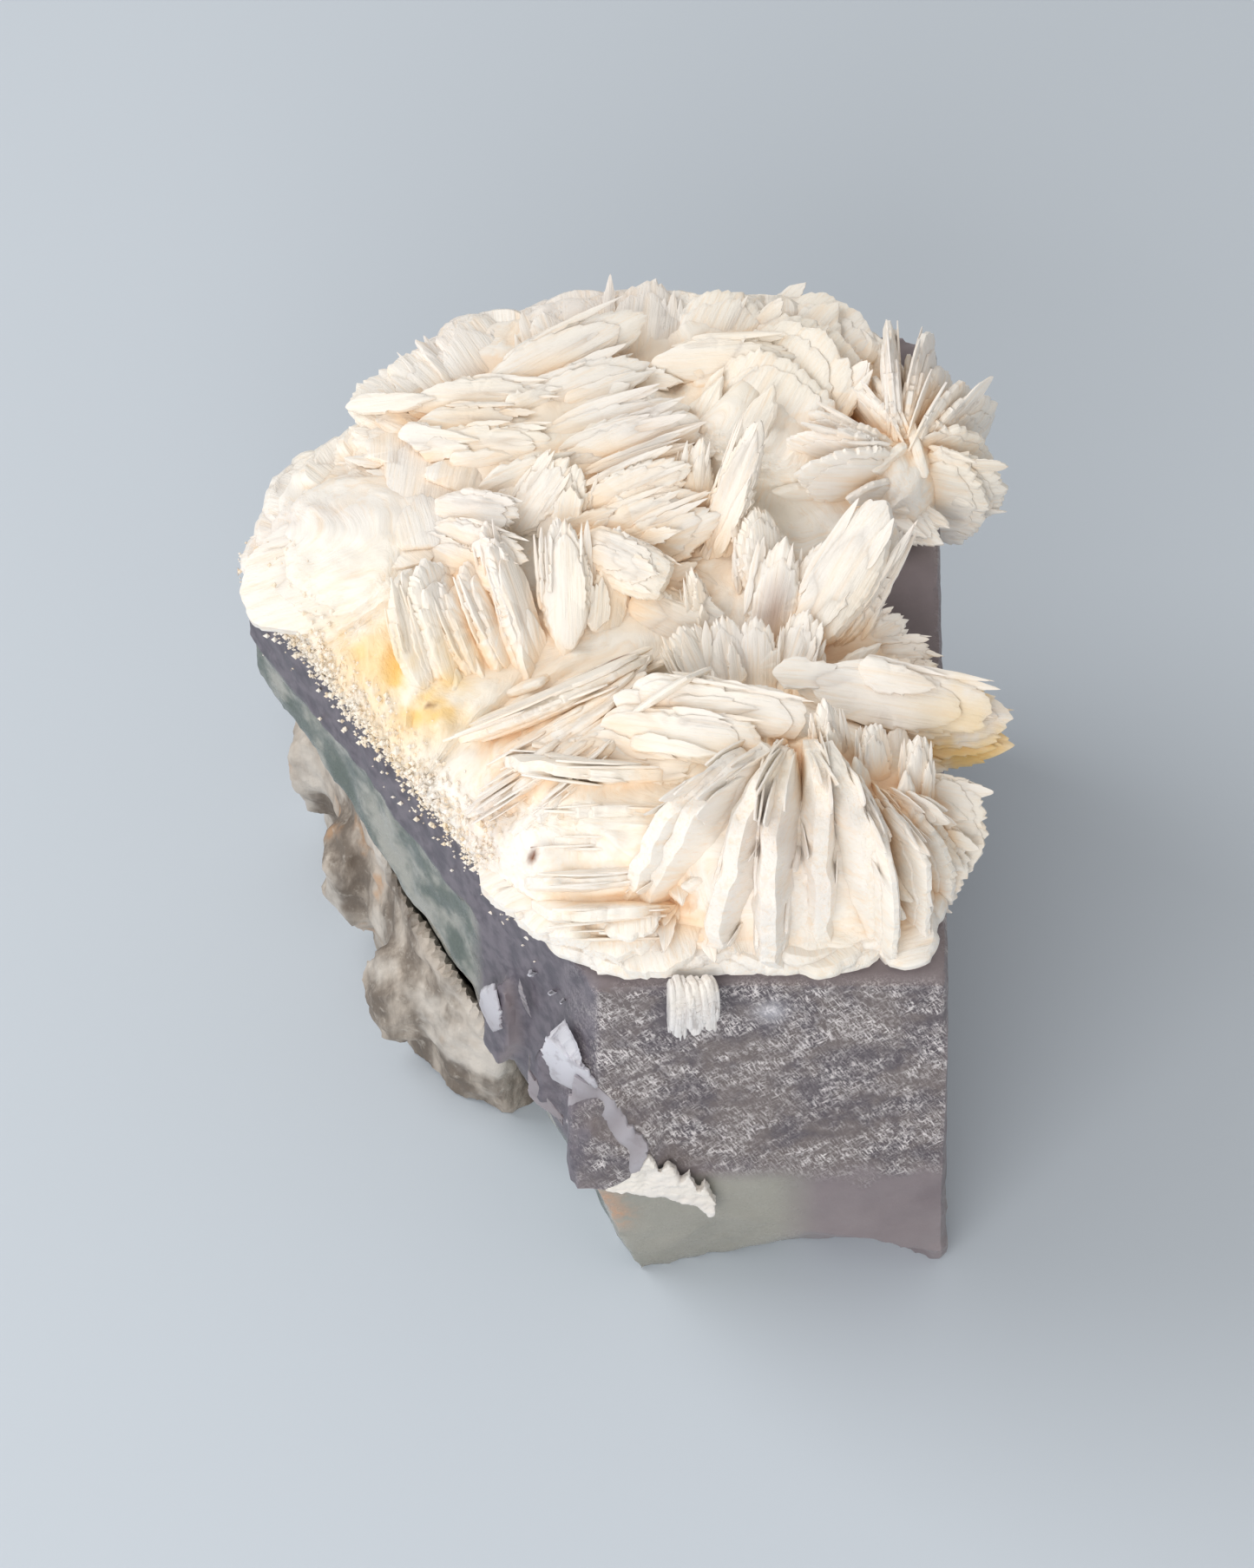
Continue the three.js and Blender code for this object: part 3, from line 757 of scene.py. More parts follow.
def stack(growth, one, number, laminae=LAMINAE):
    """A blade of the solid model, as a pile of plates that step back from the middle one."""
    length, width, thick = one["size"]
    axes = directions(one)
    middle = one["root"] + axes[0] * length / 2
    rng = np.random.default_rng(number)
    flip = rng.choice((-1, 1))
    layers = THICK_LAYERS if thick >= THICK_BLADE else THIN_LAYERS
    for layer, (height, fullness, share) in enumerate(layers):
        share = share * (1 - 0.06 * rng.random() * (layer > 0))
        back = -axes[0] * length * (1 - share) * 0.3
        slide = back + axes[1] * width * (1 - share) * rng.uniform(-0.4, 0.4)
        place = middle + slide + axes[2] * height * thick * flip
        pattern = MEDIUM if layer else LARGE
        corners = tabular((length * share, width * share), float(one["point"]))
        corners = corners * (1 + 0.045 * rng.normal(size=corners.shape))
        wedge = thick >= THICK_BLADE and layer == 0
        bite, taper = (0.25, 2) if wedge else (0.48, 8)
        seed = number * 31 + layer
        deep = thick * fullness
        made = plate(pattern, axes, place, corners, deep, seed, bite, PLATE_SAG, taper)
        growth.add(pattern, made)
    feathers(growth, one, axes, rng, number, laminae)


trial = Growth()
stack(trial, ROSETTES["front_rosette"][0], 1)
print("plates and laminae in one blade:", len(trial.points))

# %% [markdown]
# ## Small plates beside the large ones
# Between the large blades the real cluster is never smooth: smaller plates lie against them,
# nearly parallel, and fill every gap. Each large blade therefore gets a few companions, slid and
# turned a little, on both faces.

# %% Companions
COMPANIONS = 3


def companions(growth, one, number, count=COMPANIONS):
    length, width, thick = one["size"]
    rng = np.random.default_rng(1000 + number)
    for k in range(count):
        turned = dict(one)
        for key, spread in (("bearing", 6), ("rise", 3), ("roll", 6)):
            turned[key] = one[key] + rng.normal(0, spread)
        axes = directions(turned)
        long, wide = length * rng.uniform(0.35, 0.7), width * rng.uniform(0.4, 0.8)
        start = rng.uniform(0.2, 1.0) * length - long
        aside = rng.uniform(-0.3, 0.3) * width
        out = rng.choice((-1, 1)) * thick * rng.uniform(0.3, 0.55)
        place = one["root"] + axes[0] * (start + long / 2) + axes[1] * aside + axes[2] * out
        corners = shard((long, wide), rng)
        seed = 5000 + number * 17 + k
        growth.add(SMALL, plate(SMALL, axes, place, corners, rng.uniform(0.4, 0.7), seed, 0.5))


trial = Growth()
companions(trial, ROSETTES["front_rosette"][0], 1)
print("companions of one blade:", len(trial.points))

# %% [markdown]
# ## All the blades
# Each rosette becomes one mesh. The flower and the leaves are cleaner on the real piece, with
# fewer laminae.

# %% All the blades
# laminae and companions that each blade of these rosettes gets
FEWER = {"right_flower": (3, 1), "big_leaves": (6, 1), "left_leaves": (6, 1)}
growths = {}
number = 0
for name, blades in ROSETTES.items():
    growths[name] = Growth()
    for one in blades:
        number += 1
        laminae, beside = FEWER.get(name, (LAMINAE, COMPANIONS))
        stack(growths[name], one, number, laminae)
        companions(growths[name], one, number, beside)
    print(name, "points:", growths[name].count)

# %% [markdown]
# ## The ground the blades stand in
# Under the rosettes the barite is a low sugary crust, and each rosette swells from a rounded
# heart. The crust follows the edge of the crystal's top. Its small plates overlap like shingles
# along that edge, and its middle is closed by short plates. First the crust's edge and the hearts
# are written down.

# %% Crust edge and hearts
FRONT_Y = -25  # plane of the front crystal face
FRONT_HEIGHT = 33  # top face at its front edge
TOP_SLOPE = 0.15  # rise of the top face toward the back
CRUST_EDGE = [
    (20.6, -21.5), (20.6, -9), (20.2, -2), (15.5, 1.5), (15.5, 7), (20.6, 9.5), (21, 18),
    (17, 23.6), (9, 27), (-4, 27), (-12.8, 24), (-17, 17.6), (-23.8, 12.6), (-25.7, 7.4),
    (-23.2, 2), (-18.4, -5), (-10.8, -15.4), (-4.8, -23.2), (-1.6, -25), (5, -25.2), (15, -25),
]
# each heart: its middle, its half sizes, how far the ground mass fills it, and its short plates
HEARTS = [
    ((9.5, -13.5, 34), (10, 9, 7.5), 1.1, 14),
    ((-1, -12, 35.4), (8.4, 9, 5.4), 1.1, 12),
    ((-16, 6.4, 38.4), (8.6, 6.6, 4.2), 1.04, 0),
    ((-8, -1, 36.5), (7.5, 6, 3.4), 0.8, 20),
    ((1, 4, 37.6), (7.5, 6.5, 3.6), 0.74, 22),
    ((-4, 14.5, 40), (12, 8, 3.8), 0.96, 18),
    ((9, 15.5, 40), (7.5, 7.5, 4.5), 0.96, 20),
    ((18.4, 12.5, 39.5), (2.8, 5.5, 4.5), 0.94, 14),
    ((14, -6, 37), (6, 4.5, 3.6), 0.76, 20),
    ((17, -14.5, 35), (4, 7, 5.5), 0.94, 22),
]


def top_at(y):
    """Height of the crystal's top face."""
    return FRONT_HEIGHT + TOP_SLOPE * (y - FRONT_Y)


def along_edge(spacing):
    """Evenly spaced points on the crust's edge, with the outward direction at each."""
    corners = np.array(CRUST_EDGE, float)
    places, outward = [], []
    for k, start in enumerate(corners):
        end = corners[(k + 1) % len(corners)]
        run = end - start
        reach = np.hypot(*run)
        for share in np.arange(0, 1, spacing / reach):
            places.append(start + run * share)
            outward.append(np.array([run[1], -run[0]]) / reach)
    return np.array(places), np.array(outward)


ALL_BLADES = [one for blades in ROSETTES.values() for one in blades]
BLADE_AXES = np.array([directions(one) for one in ALL_BLADES])
BLADE_MIDDLES = np.array([
    one["root"] + axes[0] * one["size"][0] * 0.4
    for one, axes in zip(ALL_BLADES, BLADE_AXES)
])


def nearest_blade(place):
    return ALL_BLADES[int(np.argmin(np.linalg.norm(BLADE_MIDDLES - place, axis=1)))]


print("hearts:", len(HEARTS), "points on the crust's edge:", len(along_edge(1.8)[0]))

# %% [markdown]
# ## Shingles and short plates
# The plates at the edge point outward and lie almost flat; beside the broken left face there are
# none, because the crust ends there in loose sugar. The short plates copy the lean of the nearest
# large blade.

# %% Shingles and short plates
SHINGLE_WIDTH = 6  # mm
SHINGLE_DEPTH = 1.3  # mm
ground = Growth()
rng = np.random.default_rng(21)
edge_places, edge_outward = along_edge(1.8)
for k, (place, out) in enumerate(zip(edge_places, edge_outward)):
    beside_band = out[0] < -0.5 and out[1] < -0.2 and place[1] > -17
    if beside_band:
        continue
    length = rng.uniform(3.6, 5)
    turn = math.degrees(math.atan2(out[1], out[0])) + rng.normal(0, 7)
    lying = blade((0, 0, 0), turn, rng.uniform(4, 14), rng.normal(0, 6), (1, 1, 1), 2)
    axes = directions(lying)
    tip = np.array([*(place + out * rng.uniform(-0.5, 0.1)), 0])
    tip[2] = top_at(tip[1]) + rng.uniform(0.9, 1.6)
    middle = tip - axes[0] * length / 2
    corners = tabular((length, SHINGLE_WIDTH), 2.2)
    made = plate(SMALL, axes, middle, corners, SHINGLE_DEPTH, 300 + k, 0.22, -0.03)
    ground.add(SMALL, made)

for k, (middle, size, fill, count) in enumerate(HEARTS):
    for m in range(count):
        way = rng.normal(size=3)
        way[2] = abs(way[2]) * 0.8
        way = way / np.linalg.norm(way)
        place = np.array(middle) + way * size * rng.uniform(0.86, 1) * fill
        like = dict(nearest_blade(place))
        for key, spread in (("bearing", 9), ("rise", 6), ("roll", 9)):
            like[key] = like[key] + rng.normal(0, spread)
        corners = shard((rng.uniform(3.5, 6.5), rng.uniform(1.8, 3.4)), rng)
        deep = rng.uniform(0.5, 0.8)
        made = plate(SMALL, directions(like), place, corners, deep, 900 + k * 40 + m, 0.25)
        ground.add(SMALL, made)
growths["short_plates"] = ground
print("short plates, points:", ground.count)

# %% [markdown]
# ## How crowded the crystals are
# Light that enters the cluster comes out white at the free tips and warm between the blades, where
# iron stains have settled too, and the crowded middle lies in shade. Rays could measure how deep a
# point lies, but slowly. Here space is cut into small boxes, the boxes that hold crystal are marked
# and blurred, and each point reads how full its neighbourhood is. The finish paints the warm glow
# and the shade into the colour by this number: the fuller, the warmer and darker.

# %% Crowding
BOX = 0.6  # mm, side of one box
BLUR_STEPS = (2, 2, 1)


def painted_crevice_shade_of(groups):
    every = np.concatenate([group["points"] for group in groups])
    low = every.min(0) - 6 * BOX
    shape = np.ceil((every.max(0) + 6 * BOX - low) / BOX).astype(int) + 1
    full = np.zeros(shape)
    cells = ((every - low) / BOX).astype(int)
    full[tuple(cells.T)] = 1
    for reach in BLUR_STEPS:
        steps = range(-reach, reach + 1)
        for axis in range(3):
            full = sum(np.roll(full, step, axis) for step in steps) / len(steps)
    levels = [full[tuple(((group["points"] - low) / BOX).astype(int).T)] for group in groups]
    joined = np.concatenate(levels)
    thin, thick = np.percentile(joined, (12, 96))
    print("filled share, thin and thick:", round(float(thin), 3), round(float(thick), 3))
    return [np.clip((level - thin) / (thick - thin), 0, 1) for level in levels]


# %% [markdown]
# ## Sugary ground mass
# The hearts and the crust between the blades are one fine-grained mass. It starts as plain closed
# shapes that overlap: a rounded lump for each heart, and for the crust a low slab whose edge draws
# in as it rises.

# %% Lumps and slab
def lump_points(middle, size, share):
    """A rounded lump as points and triangles, from a cube sphere of rings."""
    steps, slices = 12, 20
    tilt = np.linspace(0, math.pi, steps + 1)[1:-1]
    turn = np.arange(slices) / slices * 2 * math.pi
    body = np.array([
        (math.sin(a) * math.cos(b), math.sin(a) * math.sin(b), math.cos(a))
        for a in tilt
        for b in turn
    ])
    points = np.concatenate([[(0, 0, 1)], body, [(0, 0, -1)]]) * np.array(size) * share + middle
    faces = []
    for s in range(slices):
        t = (s + 1) % slices
        faces.append((0, 1 + s, 1 + t))
        for row in range(steps - 2):
            high, low = 1 + row * slices, 1 + (row + 1) * slices
            faces += [(high + s, low + s, low + t), (high + s, low + t, high + t)]
        last = 1 + (steps - 2) * slices
        faces.append((last + s, len(points) - 1, last + t))
    return points, np.array(faces)


def slab_points(edge, rings):
    """A closed skin over rings of the same edge, each a (share, height over the top face)."""
    edge = np.array(edge, float)
    centre = np.array([0, 1])
    count = len(edge)
    levels = []
    for share, height in rings:
        flat = centre + (edge - centre) * share
        levels.append(np.column_stack([flat, top_at(flat[:, 1]) + height]))
    points = np.concatenate([*levels, [levels[0].mean(0)], [levels[-1].mean(0)]])
    faces = []
    for k in range(count):
        after = (k + 1) % count
        for ring in range(len(rings) - 1):
            high, low = ring * count, (ring + 1) * count
            faces += [(low + after, low + k, high + after), (high + after, low + k, high + k)]
        last = (len(rings) - 1) * count
        faces += [(len(points) - 2, after, k), (len(points) - 1, last + k, last + after)]
    return points, np.array(faces)[:, ::-1]


CRUST_RINGS = [(0.82, 2.7), (0.93, 2.1), (0.975, 1.2), (0.985, 0.4)]  # share, height in mm
ground_parts = [lump_points(middle, size, fill) for middle, size, fill, _ in HEARTS]
ground_parts.append(slab_points(CRUST_EDGE, CRUST_RINGS))
print("closed shapes in the ground mass:", len(ground_parts))

# %% [markdown]
# ## Melting shapes together
# Joining the shapes with booleans would leave creases, and relief needs points that are evenly
# spread. A voxel remesh gives both: it wraps one even skin round everything, however the shapes
# overlap. The seam, the crystal and the rock get their skins in the same way.

# %% Voxel remesh
MASS_VOXEL = 0.36  # mm


def remeshed(parts, voxel):
    """One even skin round overlapping closed parts: points in millimetres, normals, triangles."""
    mesh = bpy.data.meshes.new("mould")
    points, faces, count = [], [], 0
    for part_points, part_faces in parts:
        points.append(part_points)
        faces.append(part_faces + count)
        count += len(part_points)
    mesh.from_pydata((np.concatenate(points) * METRES).tolist(), [], np.concatenate(faces).tolist())
    return remeshed_mesh(mesh, voxel)


def remeshed_mesh(mesh, voxel):
    """The same for one mesh in metres."""
    mould = bpy.data.objects.new("mould", mesh)
    bpy.context.collection.objects.link(mould)
    skin = mould.modifiers.new("skin", "REMESH")
    skin.mode = "VOXEL"
    skin.voxel_size = voxel * METRES
    even = mould.evaluated_get(bpy.context.evaluated_depsgraph_get()).to_mesh()
    even.calc_loop_triangles()
    found = np.zeros(len(even.vertices) * 3)
    even.vertices.foreach_get("co", found)
    normals = np.zeros(len(even.vertices) * 3)
    even.vertices.foreach_get("normal", normals)
    corners = np.zeros(len(even.loop_triangles) * 3, np.int32)
    even.loop_triangles.foreach_get("vertices", corners)
    mould.to_mesh_clear()
    bpy.data.objects.remove(mould)
    return found.reshape(-1, 3) / METRES, normals.reshape(-1, 3), corners.reshape(-1, 3)


mass_points, mass_normals, mass_faces = remeshed(ground_parts, MASS_VOXEL)
print("ground mass triangles:", len(mass_faces))

# %% [markdown]
# ## Ribs on the ground mass
# Even where no blade stands free, the crust has ribs, because it is made of plates grown shut. So
# each of its points is measured along and across the blades round it, and pushed in or out by
# grain stretched that way.

# %% Ribs
SWAY = 2.6  # mm, how gently the ribs turn from one blade's direction to the next


def beside_blades(points):
    """Each point as the blades round it see it: along them, across them, out of their faces."""
    away = points[:, None] - BLADE_MIDDLES
    pull = np.exp(-((away / SWAY) ** 2).sum(2)) + 1e-12
    share = pull / pull.sum(1)[:, None]
    return np.tensordot(away * share[:, :, None], BLADE_AXES, axes=([1, 2], [0, 2]))


beside = beside_blades(mass_points)
mass_push = 0.3 * grain(beside * (0.12, 0.6, 1.6), 1, 41)
mass_push = mass_push + 0.2 * grain(beside * (0.2, 1.1, 3.4), 1, 42)
mass_push = mass_push + 0.14 * rough_field(mass_points, 1.1, 3)
mass_points = mass_points + mass_normals * mass_push[:, None]
mass_points[:, 2] = np.maximum(mass_points[:, 2], top_at(mass_points[:, 1]) + 0.35)
mass = {
    "points": mass_points,
    "places": beside,
    # a fixed middling nearness to the root, which the finish paints as warm shade
    "roots": np.full(len(mass_points), 0.45),
    "faces": mass_faces,
}
print("highest rib in mm:", round(float(mass_push.max()), 2))

# %% [markdown]
# ## The barite finish
# Milky barite lets light in and gives it back a little way off. Full translucency made the thin
# plates grey, so only a short, weak subsurface scattering is used, and the warm glow and shade of
# the crevices are painted into the colour instead, by how crowded a point is and how near the root,
# turning to a dark painted amber shade where it is most crowded. Fine ribs and broader grooves run
# along each plate, with their valleys painted warm as shade, a sugary bump breaks up the gloss, and
# broad clouds of cream and blush keep the white from looking like plaster.

# %% Barite finish
CREAM = rgb(0.95, 0.88, 0.77)
BLUSH = rgb(0.90, 0.81, 0.76)
# dark amber of the painted shade in the most crowded crevices
AMBER_PAINTED_SHADE = rgb(0.76, 0.46, 0.26)
STAIN_YELLOW = rgb(0.93, 0.64, 0.24)
RUST_BROWN = rgb(0.20, 0.07, 0.025)


def barite_finish(name, white, painted_warm_shade, gloss):
    made = Finish(name)
    on_plate = made.attribute("on_plate", "Vector")
    ribs = made.noise(made.stretched(on_plate, (0.3, 4.2, 4.2)), 1.0, 5, 0.64)
    grooves = made.noise(made.stretched(on_plate, (0.1, 1.5, 1.5)), 1.0, 3, 0.5)
    sugar = made.noise(on_plate, 4.5, 3, 0.6)
    crevice_shade = made.attribute("painted_crevice_shade")
    root = made.attribute("root")
    cloud = made.noise(made.place(), 240, 3)
    # depth: how much painted warm crevice shade a point gets, from its crowding, its nearness to
    # the root and a random cloud
    depth = made.sum("ADD", made.sum("MULTIPLY", crevice_shade, 0.85), made.sum("MULTIPLY", root, 0.25))
    depth = made.sum("ADD", depth, made.sum("MULTIPLY", cloud, 0.3))
    broad = made.noise(made.place(), 85, 3, 0.5)
    colour = made.mix(made.span(broad, 0.42, 0.66, 0, 0.75), white, CREAM)
    colour = made.mix(made.span(broad, 0.46, 0.3, 0, 0.4), colour, BLUSH)
    # painted shade: warm in crowded crevices, turning dark amber where most crowded
    colour = made.mix(made.span(depth, 0.34, 1.0), colour, painted_warm_shade)
    colour = made.mix(made.span(depth, 0.78, 1.25), colour, AMBER_PAINTED_SHADE)
    # the valleys of the fine ribs and of the grooves are painted warm as shade
    colour = made.mix(made.span(ribs, 0.3, 0.5, 0.35, 0), colour, painted_warm_shade)
    colour = made.mix(made.span(grooves, 0.3, 0.5, 0.3, 0), colour, painted_warm_shade)
    stain = made.sum("MULTIPLY", made.attribute("stain"), made.span(cloud, 0.3, 0.55))
    colour = made.mix(stain, colour, STAIN_YELLOW)
    colour = made.mix(made.attribute("rust"), colour, RUST_BROWN)
    broad_relief = made.bump(grooves, 0.6, 0.3, made.bump(sugar, 0.32, 0.06))
    made.set(
        Base_Color=colour,
        Roughness=made.span(sugar, 0.3, 0.7, gloss, gloss + 0.2),
        Subsurface_Weight=0.25,
        Subsurface_Radius=(1.0, 0.97, 0.94),
        Subsurface_Scale=0.35 * METRES,
        Normal=made.bump(ribs, 0.6, 0.15, broad_relief),
    )
    return made


MILKY_WHITE = rgb(0.965, 0.92, 0.865)
# warm colour of the painted crevice glow and shade
MILKY_PAINTED_SHADE = rgb(0.94, 0.72, 0.51)
BARITE = barite_finish("milky_barite", MILKY_WHITE, MILKY_PAINTED_SHADE, 0.4)
print("barite finish nodes:", len(BARITE.tree.nodes))

# %% [markdown]
# ## Stains, and the barite pieces
# Iron has stained a few pockets yellow and left tiny rust spots. They are marked by place and
# reach, like drops of ink, and stored on the points. Then all the barite gathered so far is
# turned into pieces.

# %% Stained barite pieces
STAINS = [  # middle and reach in millimetres of the yellow iron stains
    ((-14.4, -3.6, 37.4), 3.2),
    ((-12.2, -6.2, 37), 2.2),
    ((-17.5, 0, 37), 2.4),
    ((22.5, -7.5, 37.4), 3.6),
    ((7.5, -12, 39), 2.2),
    ((1.5, -17, 36), 1.6),
    ((-2, -10, 39), 1.6),
    ((6, -20, 34.5), 1.5),
]
RUST = [  # the same for rust spots; they reach through the crust, so height doesn't count
    ((9.3, -0.6, 0), 0.7),
    ((-0.6, -4, 0), 0.6),
    ((-6.2, -18.4, 0), 0.3),
    ((-13, -6.4, 0), 0.22),
]
FLAT = np.array([1, 1, 0])  # drops the height of a point


def close_to(points, spots):
    """1 at the middle of any of the spots, falling to 0 beyond its reach."""
    total = np.zeros(len(points))
    for middle, reach in spots:
        total += np.exp(-(((points - middle) ** 2).sum(1)) / reach**2)
    return np.clip(1.3 * total, 0, 1)


def above_face(points):
    """No blade hangs down over the front face; its hidden part is folded up under the crust."""
    over = points[:, 1] < FRONT_Y + 0.4
    lifted = points.copy()
    lifted[over, 2] = np.maximum(points[over, 2], FRONT_HEIGHT - 0.4)
    return lifted


def barite_values(places, roots, painted_crevice_shade=0.0, stain=0.0, rust=0.0):
    """What the barite finish reads at each point; a single number holds for all of them."""
    # the nearness to the root and the crowding are painted into the colour as warm crevice glow and
    # shade; stain and rust are real marks
    every = np.ones(len(roots))
    values = {"on_plate": places, "root": roots, "painted_crevice_shade": every * painted_crevice_shade}
    values.update({"stain": every * stain, "rust": every * rust})
    return values


groups = {name: growth.arrays() for name, growth in growths.items()}
groups["sugary_ground"] = mass
# how crowded each group's points are, which the finish paints as warm crevice glow and shade
levels = painted_crevice_shade_of(list(groups.values()))
for (name, group), level in zip(groups.items(), levels):
    points = group["points"]
    stain, rust = close_to(points, STAINS), close_to(points * FLAT, RUST)
    values = barite_values(group["places"], group["roots"], level, stain, rust)
    ready = above_face(points)
    make_piece(name, ready, group["faces"], BARITE, "barite", "barite_rosettes", values)

# %% [markdown]
# ## The sprig and the seam
# Two bits of barite stand apart on the front face: a little bundle of clear ribbed blades just
# under the rosettes, and a toothed white seam near the lower edge, where the face has broken
# along a thin vein.

# %% Sprig
CLEAR_WHITE = rgb(0.82, 0.80, 0.80)
# warm colour of the painted crevice glow and shade on the clear barite
CLEAR_PAINTED_SHADE = rgb(0.72, 0.66, 0.62)
CLEAR_BARITE = barite_finish("clear_barite", CLEAR_WHITE, CLEAR_PAINTED_SHADE, 0.26)
UNDER_CRUST = 1.4  # mm by which the sprig goes on up behind the crust
sprig = Growth()
for k, one in enumerate(SPRIG):
    taller = dict(one)
    taller["root"] = one["root"] + (0, 0, UNDER_CRUST)
    taller["size"] = one["size"] + (UNDER_CRUST, 0, 0)
    stack(sprig, taller, 700 + k)
sprig = sprig.arrays()
points = sprig["points"]
points[:, 1] = np.minimum(points[:, 1], FRONT_Y - 0.35)
# the clear sprig gets a weaker painted root shade and no crowding shade
values = barite_values(sprig["places"], sprig["roots"] * 0.4)
stands_for = ("barite_clear", "barite_sprig")
make_piece("ribbed_sprig", points, sprig["faces"], CLEAR_BARITE, *stands_for, values)

# %% Seam
SEAM_VOXEL = 0.13  # mm
seam_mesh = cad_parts["barite_seam"].data.copy()
seam_points, seam_normals, seam_faces = remeshed_mesh(seam_mesh, SEAM_VOXEL)
seam_push = 0.15 * rough_field(seam_points, 0.6, 5) + 0.2 * grain(seam_points, 1.6, 8)
seam_points = seam_points + seam_normals * seam_push[:, None]
values = barite_values(seam_points, np.zeros(len(seam_points)))
stands_for = ("barite_seam", "barite_seam")
make_piece("toothed_seam", seam_points, seam_faces, CLEAR_BARITE, *stands_for, values)

# %% [markdown]
# ## The fluorite crystal
# The crystal is a grey-purple cube corner with etched, frosty faces and glassy green below; its
# broken left side is crumbly, and painted dark as shade. Its solid is given an even fine skin, so
# that edges can be chipped and faces pitted, and each point is marked with the zone of the crystal
# that it belongs to.

# %% Fluorite surface
CRYSTAL_VOXEL = 0.48  # mm
LEDGE = 7.6  # mm below the top where the purple layer of the left side ends
crystal_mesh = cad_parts["fluorite_crystal"].data.copy()
crystal, crystal_normals, crystal_faces = remeshed_mesh(crystal_mesh, CRYSTAL_VOXEL)
print("fluorite points:", len(crystal))
x, y, z = crystal.T
below_top = top_at(y) - z
facing_front = np.clip(-crystal_normals[:, 1], 0, 1) ** 2
on_left = np.clip(-crystal_normals[:, 0] * 1.3 - crystal_normals[:, 1] * 0.2, 0, 1)
pits = 0.05 * rough_field(crystal, 1.2, 11) + 0.10 * rough_field(crystal, 2.6, 12) * on_left
broken = np.clip((14 - z) / 8, 0, 1)
chips = 0.28 * broken * rough_field(crystal * (1, 1, 1.6), 3.2, 13)
pits = pits + chips * (1 - 0.75 * facing_front)
ledge = LEDGE + 1.1 * grain(crystal, 4, 14) + 0.5 * grain(crystal, 1.3, 15)
under_ledge = np.clip((below_top - ledge) / 0.7, 0, 1) * np.clip(on_left * 1.6 - 0.4, 0, 1)
# the lower part is violet again toward the front
under_ledge = under_ledge * np.clip((-9.6 - x) / 1.2, 0, 1)
pits = pits - under_ledge * (0.35 + 0.3 * grain(crystal, 2.4, 16))
crystal = crystal + crystal_normals * pits[:, None]
crystal[:, 2] = np.maximum(crystal[:, 2], 0)
print("deepest pit in mm:", round(float(-pits.min()), 2))

# %% [markdown]
# ## Zones of the crystal
# Each zone is a number from 0 to 1 on every point: glassy green low down and under the ledge,
# frosted on the flat faces, painted dark as shade on the left-facing broken side, sugared below the
# crust. A picture could be painted for this, but numbers from the shape itself stay sharp at every
# size.

# %% Zones
glassy = np.clip((11.5 + 0.06 * x - z) / 1.5, 0, 1) * np.clip((13 - x) / 3, 0, 1)
above_glass = np.clip((z - 10.5 + 1.5 * grain(crystal, 2, 17)) / 2.5, 0, 1)
frost = facing_front * above_glass * np.clip((x + 5) / 3, 0, 1)
facing_right, facing_back = (np.clip(crystal_normals[:, axis], 0, 1) ** 2 for axis in (0, 1))
patchy = np.clip(0.25 + 0.6 * rough_field(crystal, 7, 18), 0, 0.7)
frost = frost + (facing_right + facing_back) * patchy
sugared = on_left * np.exp(-np.clip(below_top, 0, 40) / 2.4)
sugared = sugared * np.clip((8 - y) / 5, 0, 1) * np.clip((y + 23) / 6, 0.1, 1)
crystal_values = {
    "glassy": np.maximum(glassy, under_ledge),
    "frost": frost,
    # faces turned to the left, which the finish paints dark as shade
    "broken_left_painted_shade": on_left * np.clip((4 - x) / 4, 0, 1),
    "sugared": sugared,
    "pale": 0.5 * close_to(crystal, [((9.4, -25, 29.9), 1.0)]),
    "tinted": close_to(crystal, [((-2.2, -24.6, 8.6), 1.7), ((-0.6, -25, 6.4), 1.0)]),
}
print("zones, mean:", {name: round(float(zone.mean()), 2) for name, zone in crystal_values.items()})

# %% [markdown]
# ## The fluorite finish
# The flat faces carry a net of fine pale strokes in two directions, in patches, where the crystal
# was etched. Under it lies a dull grey violet. The broken side, which faces left, is painted darker
# as shade over its own crumbly mottle, and the glassy zones are olive and green, painted darker
# green as shade where they face left.

# %% Fluorite finish
PALE = rgb(0.66, 0.66, 0.73)
TINT = rgb(0.52, 0.33, 0.22)
FROST = rgb(0.80, 0.75, 0.75)
SUGAR = rgb(0.82, 0.72, 0.55)


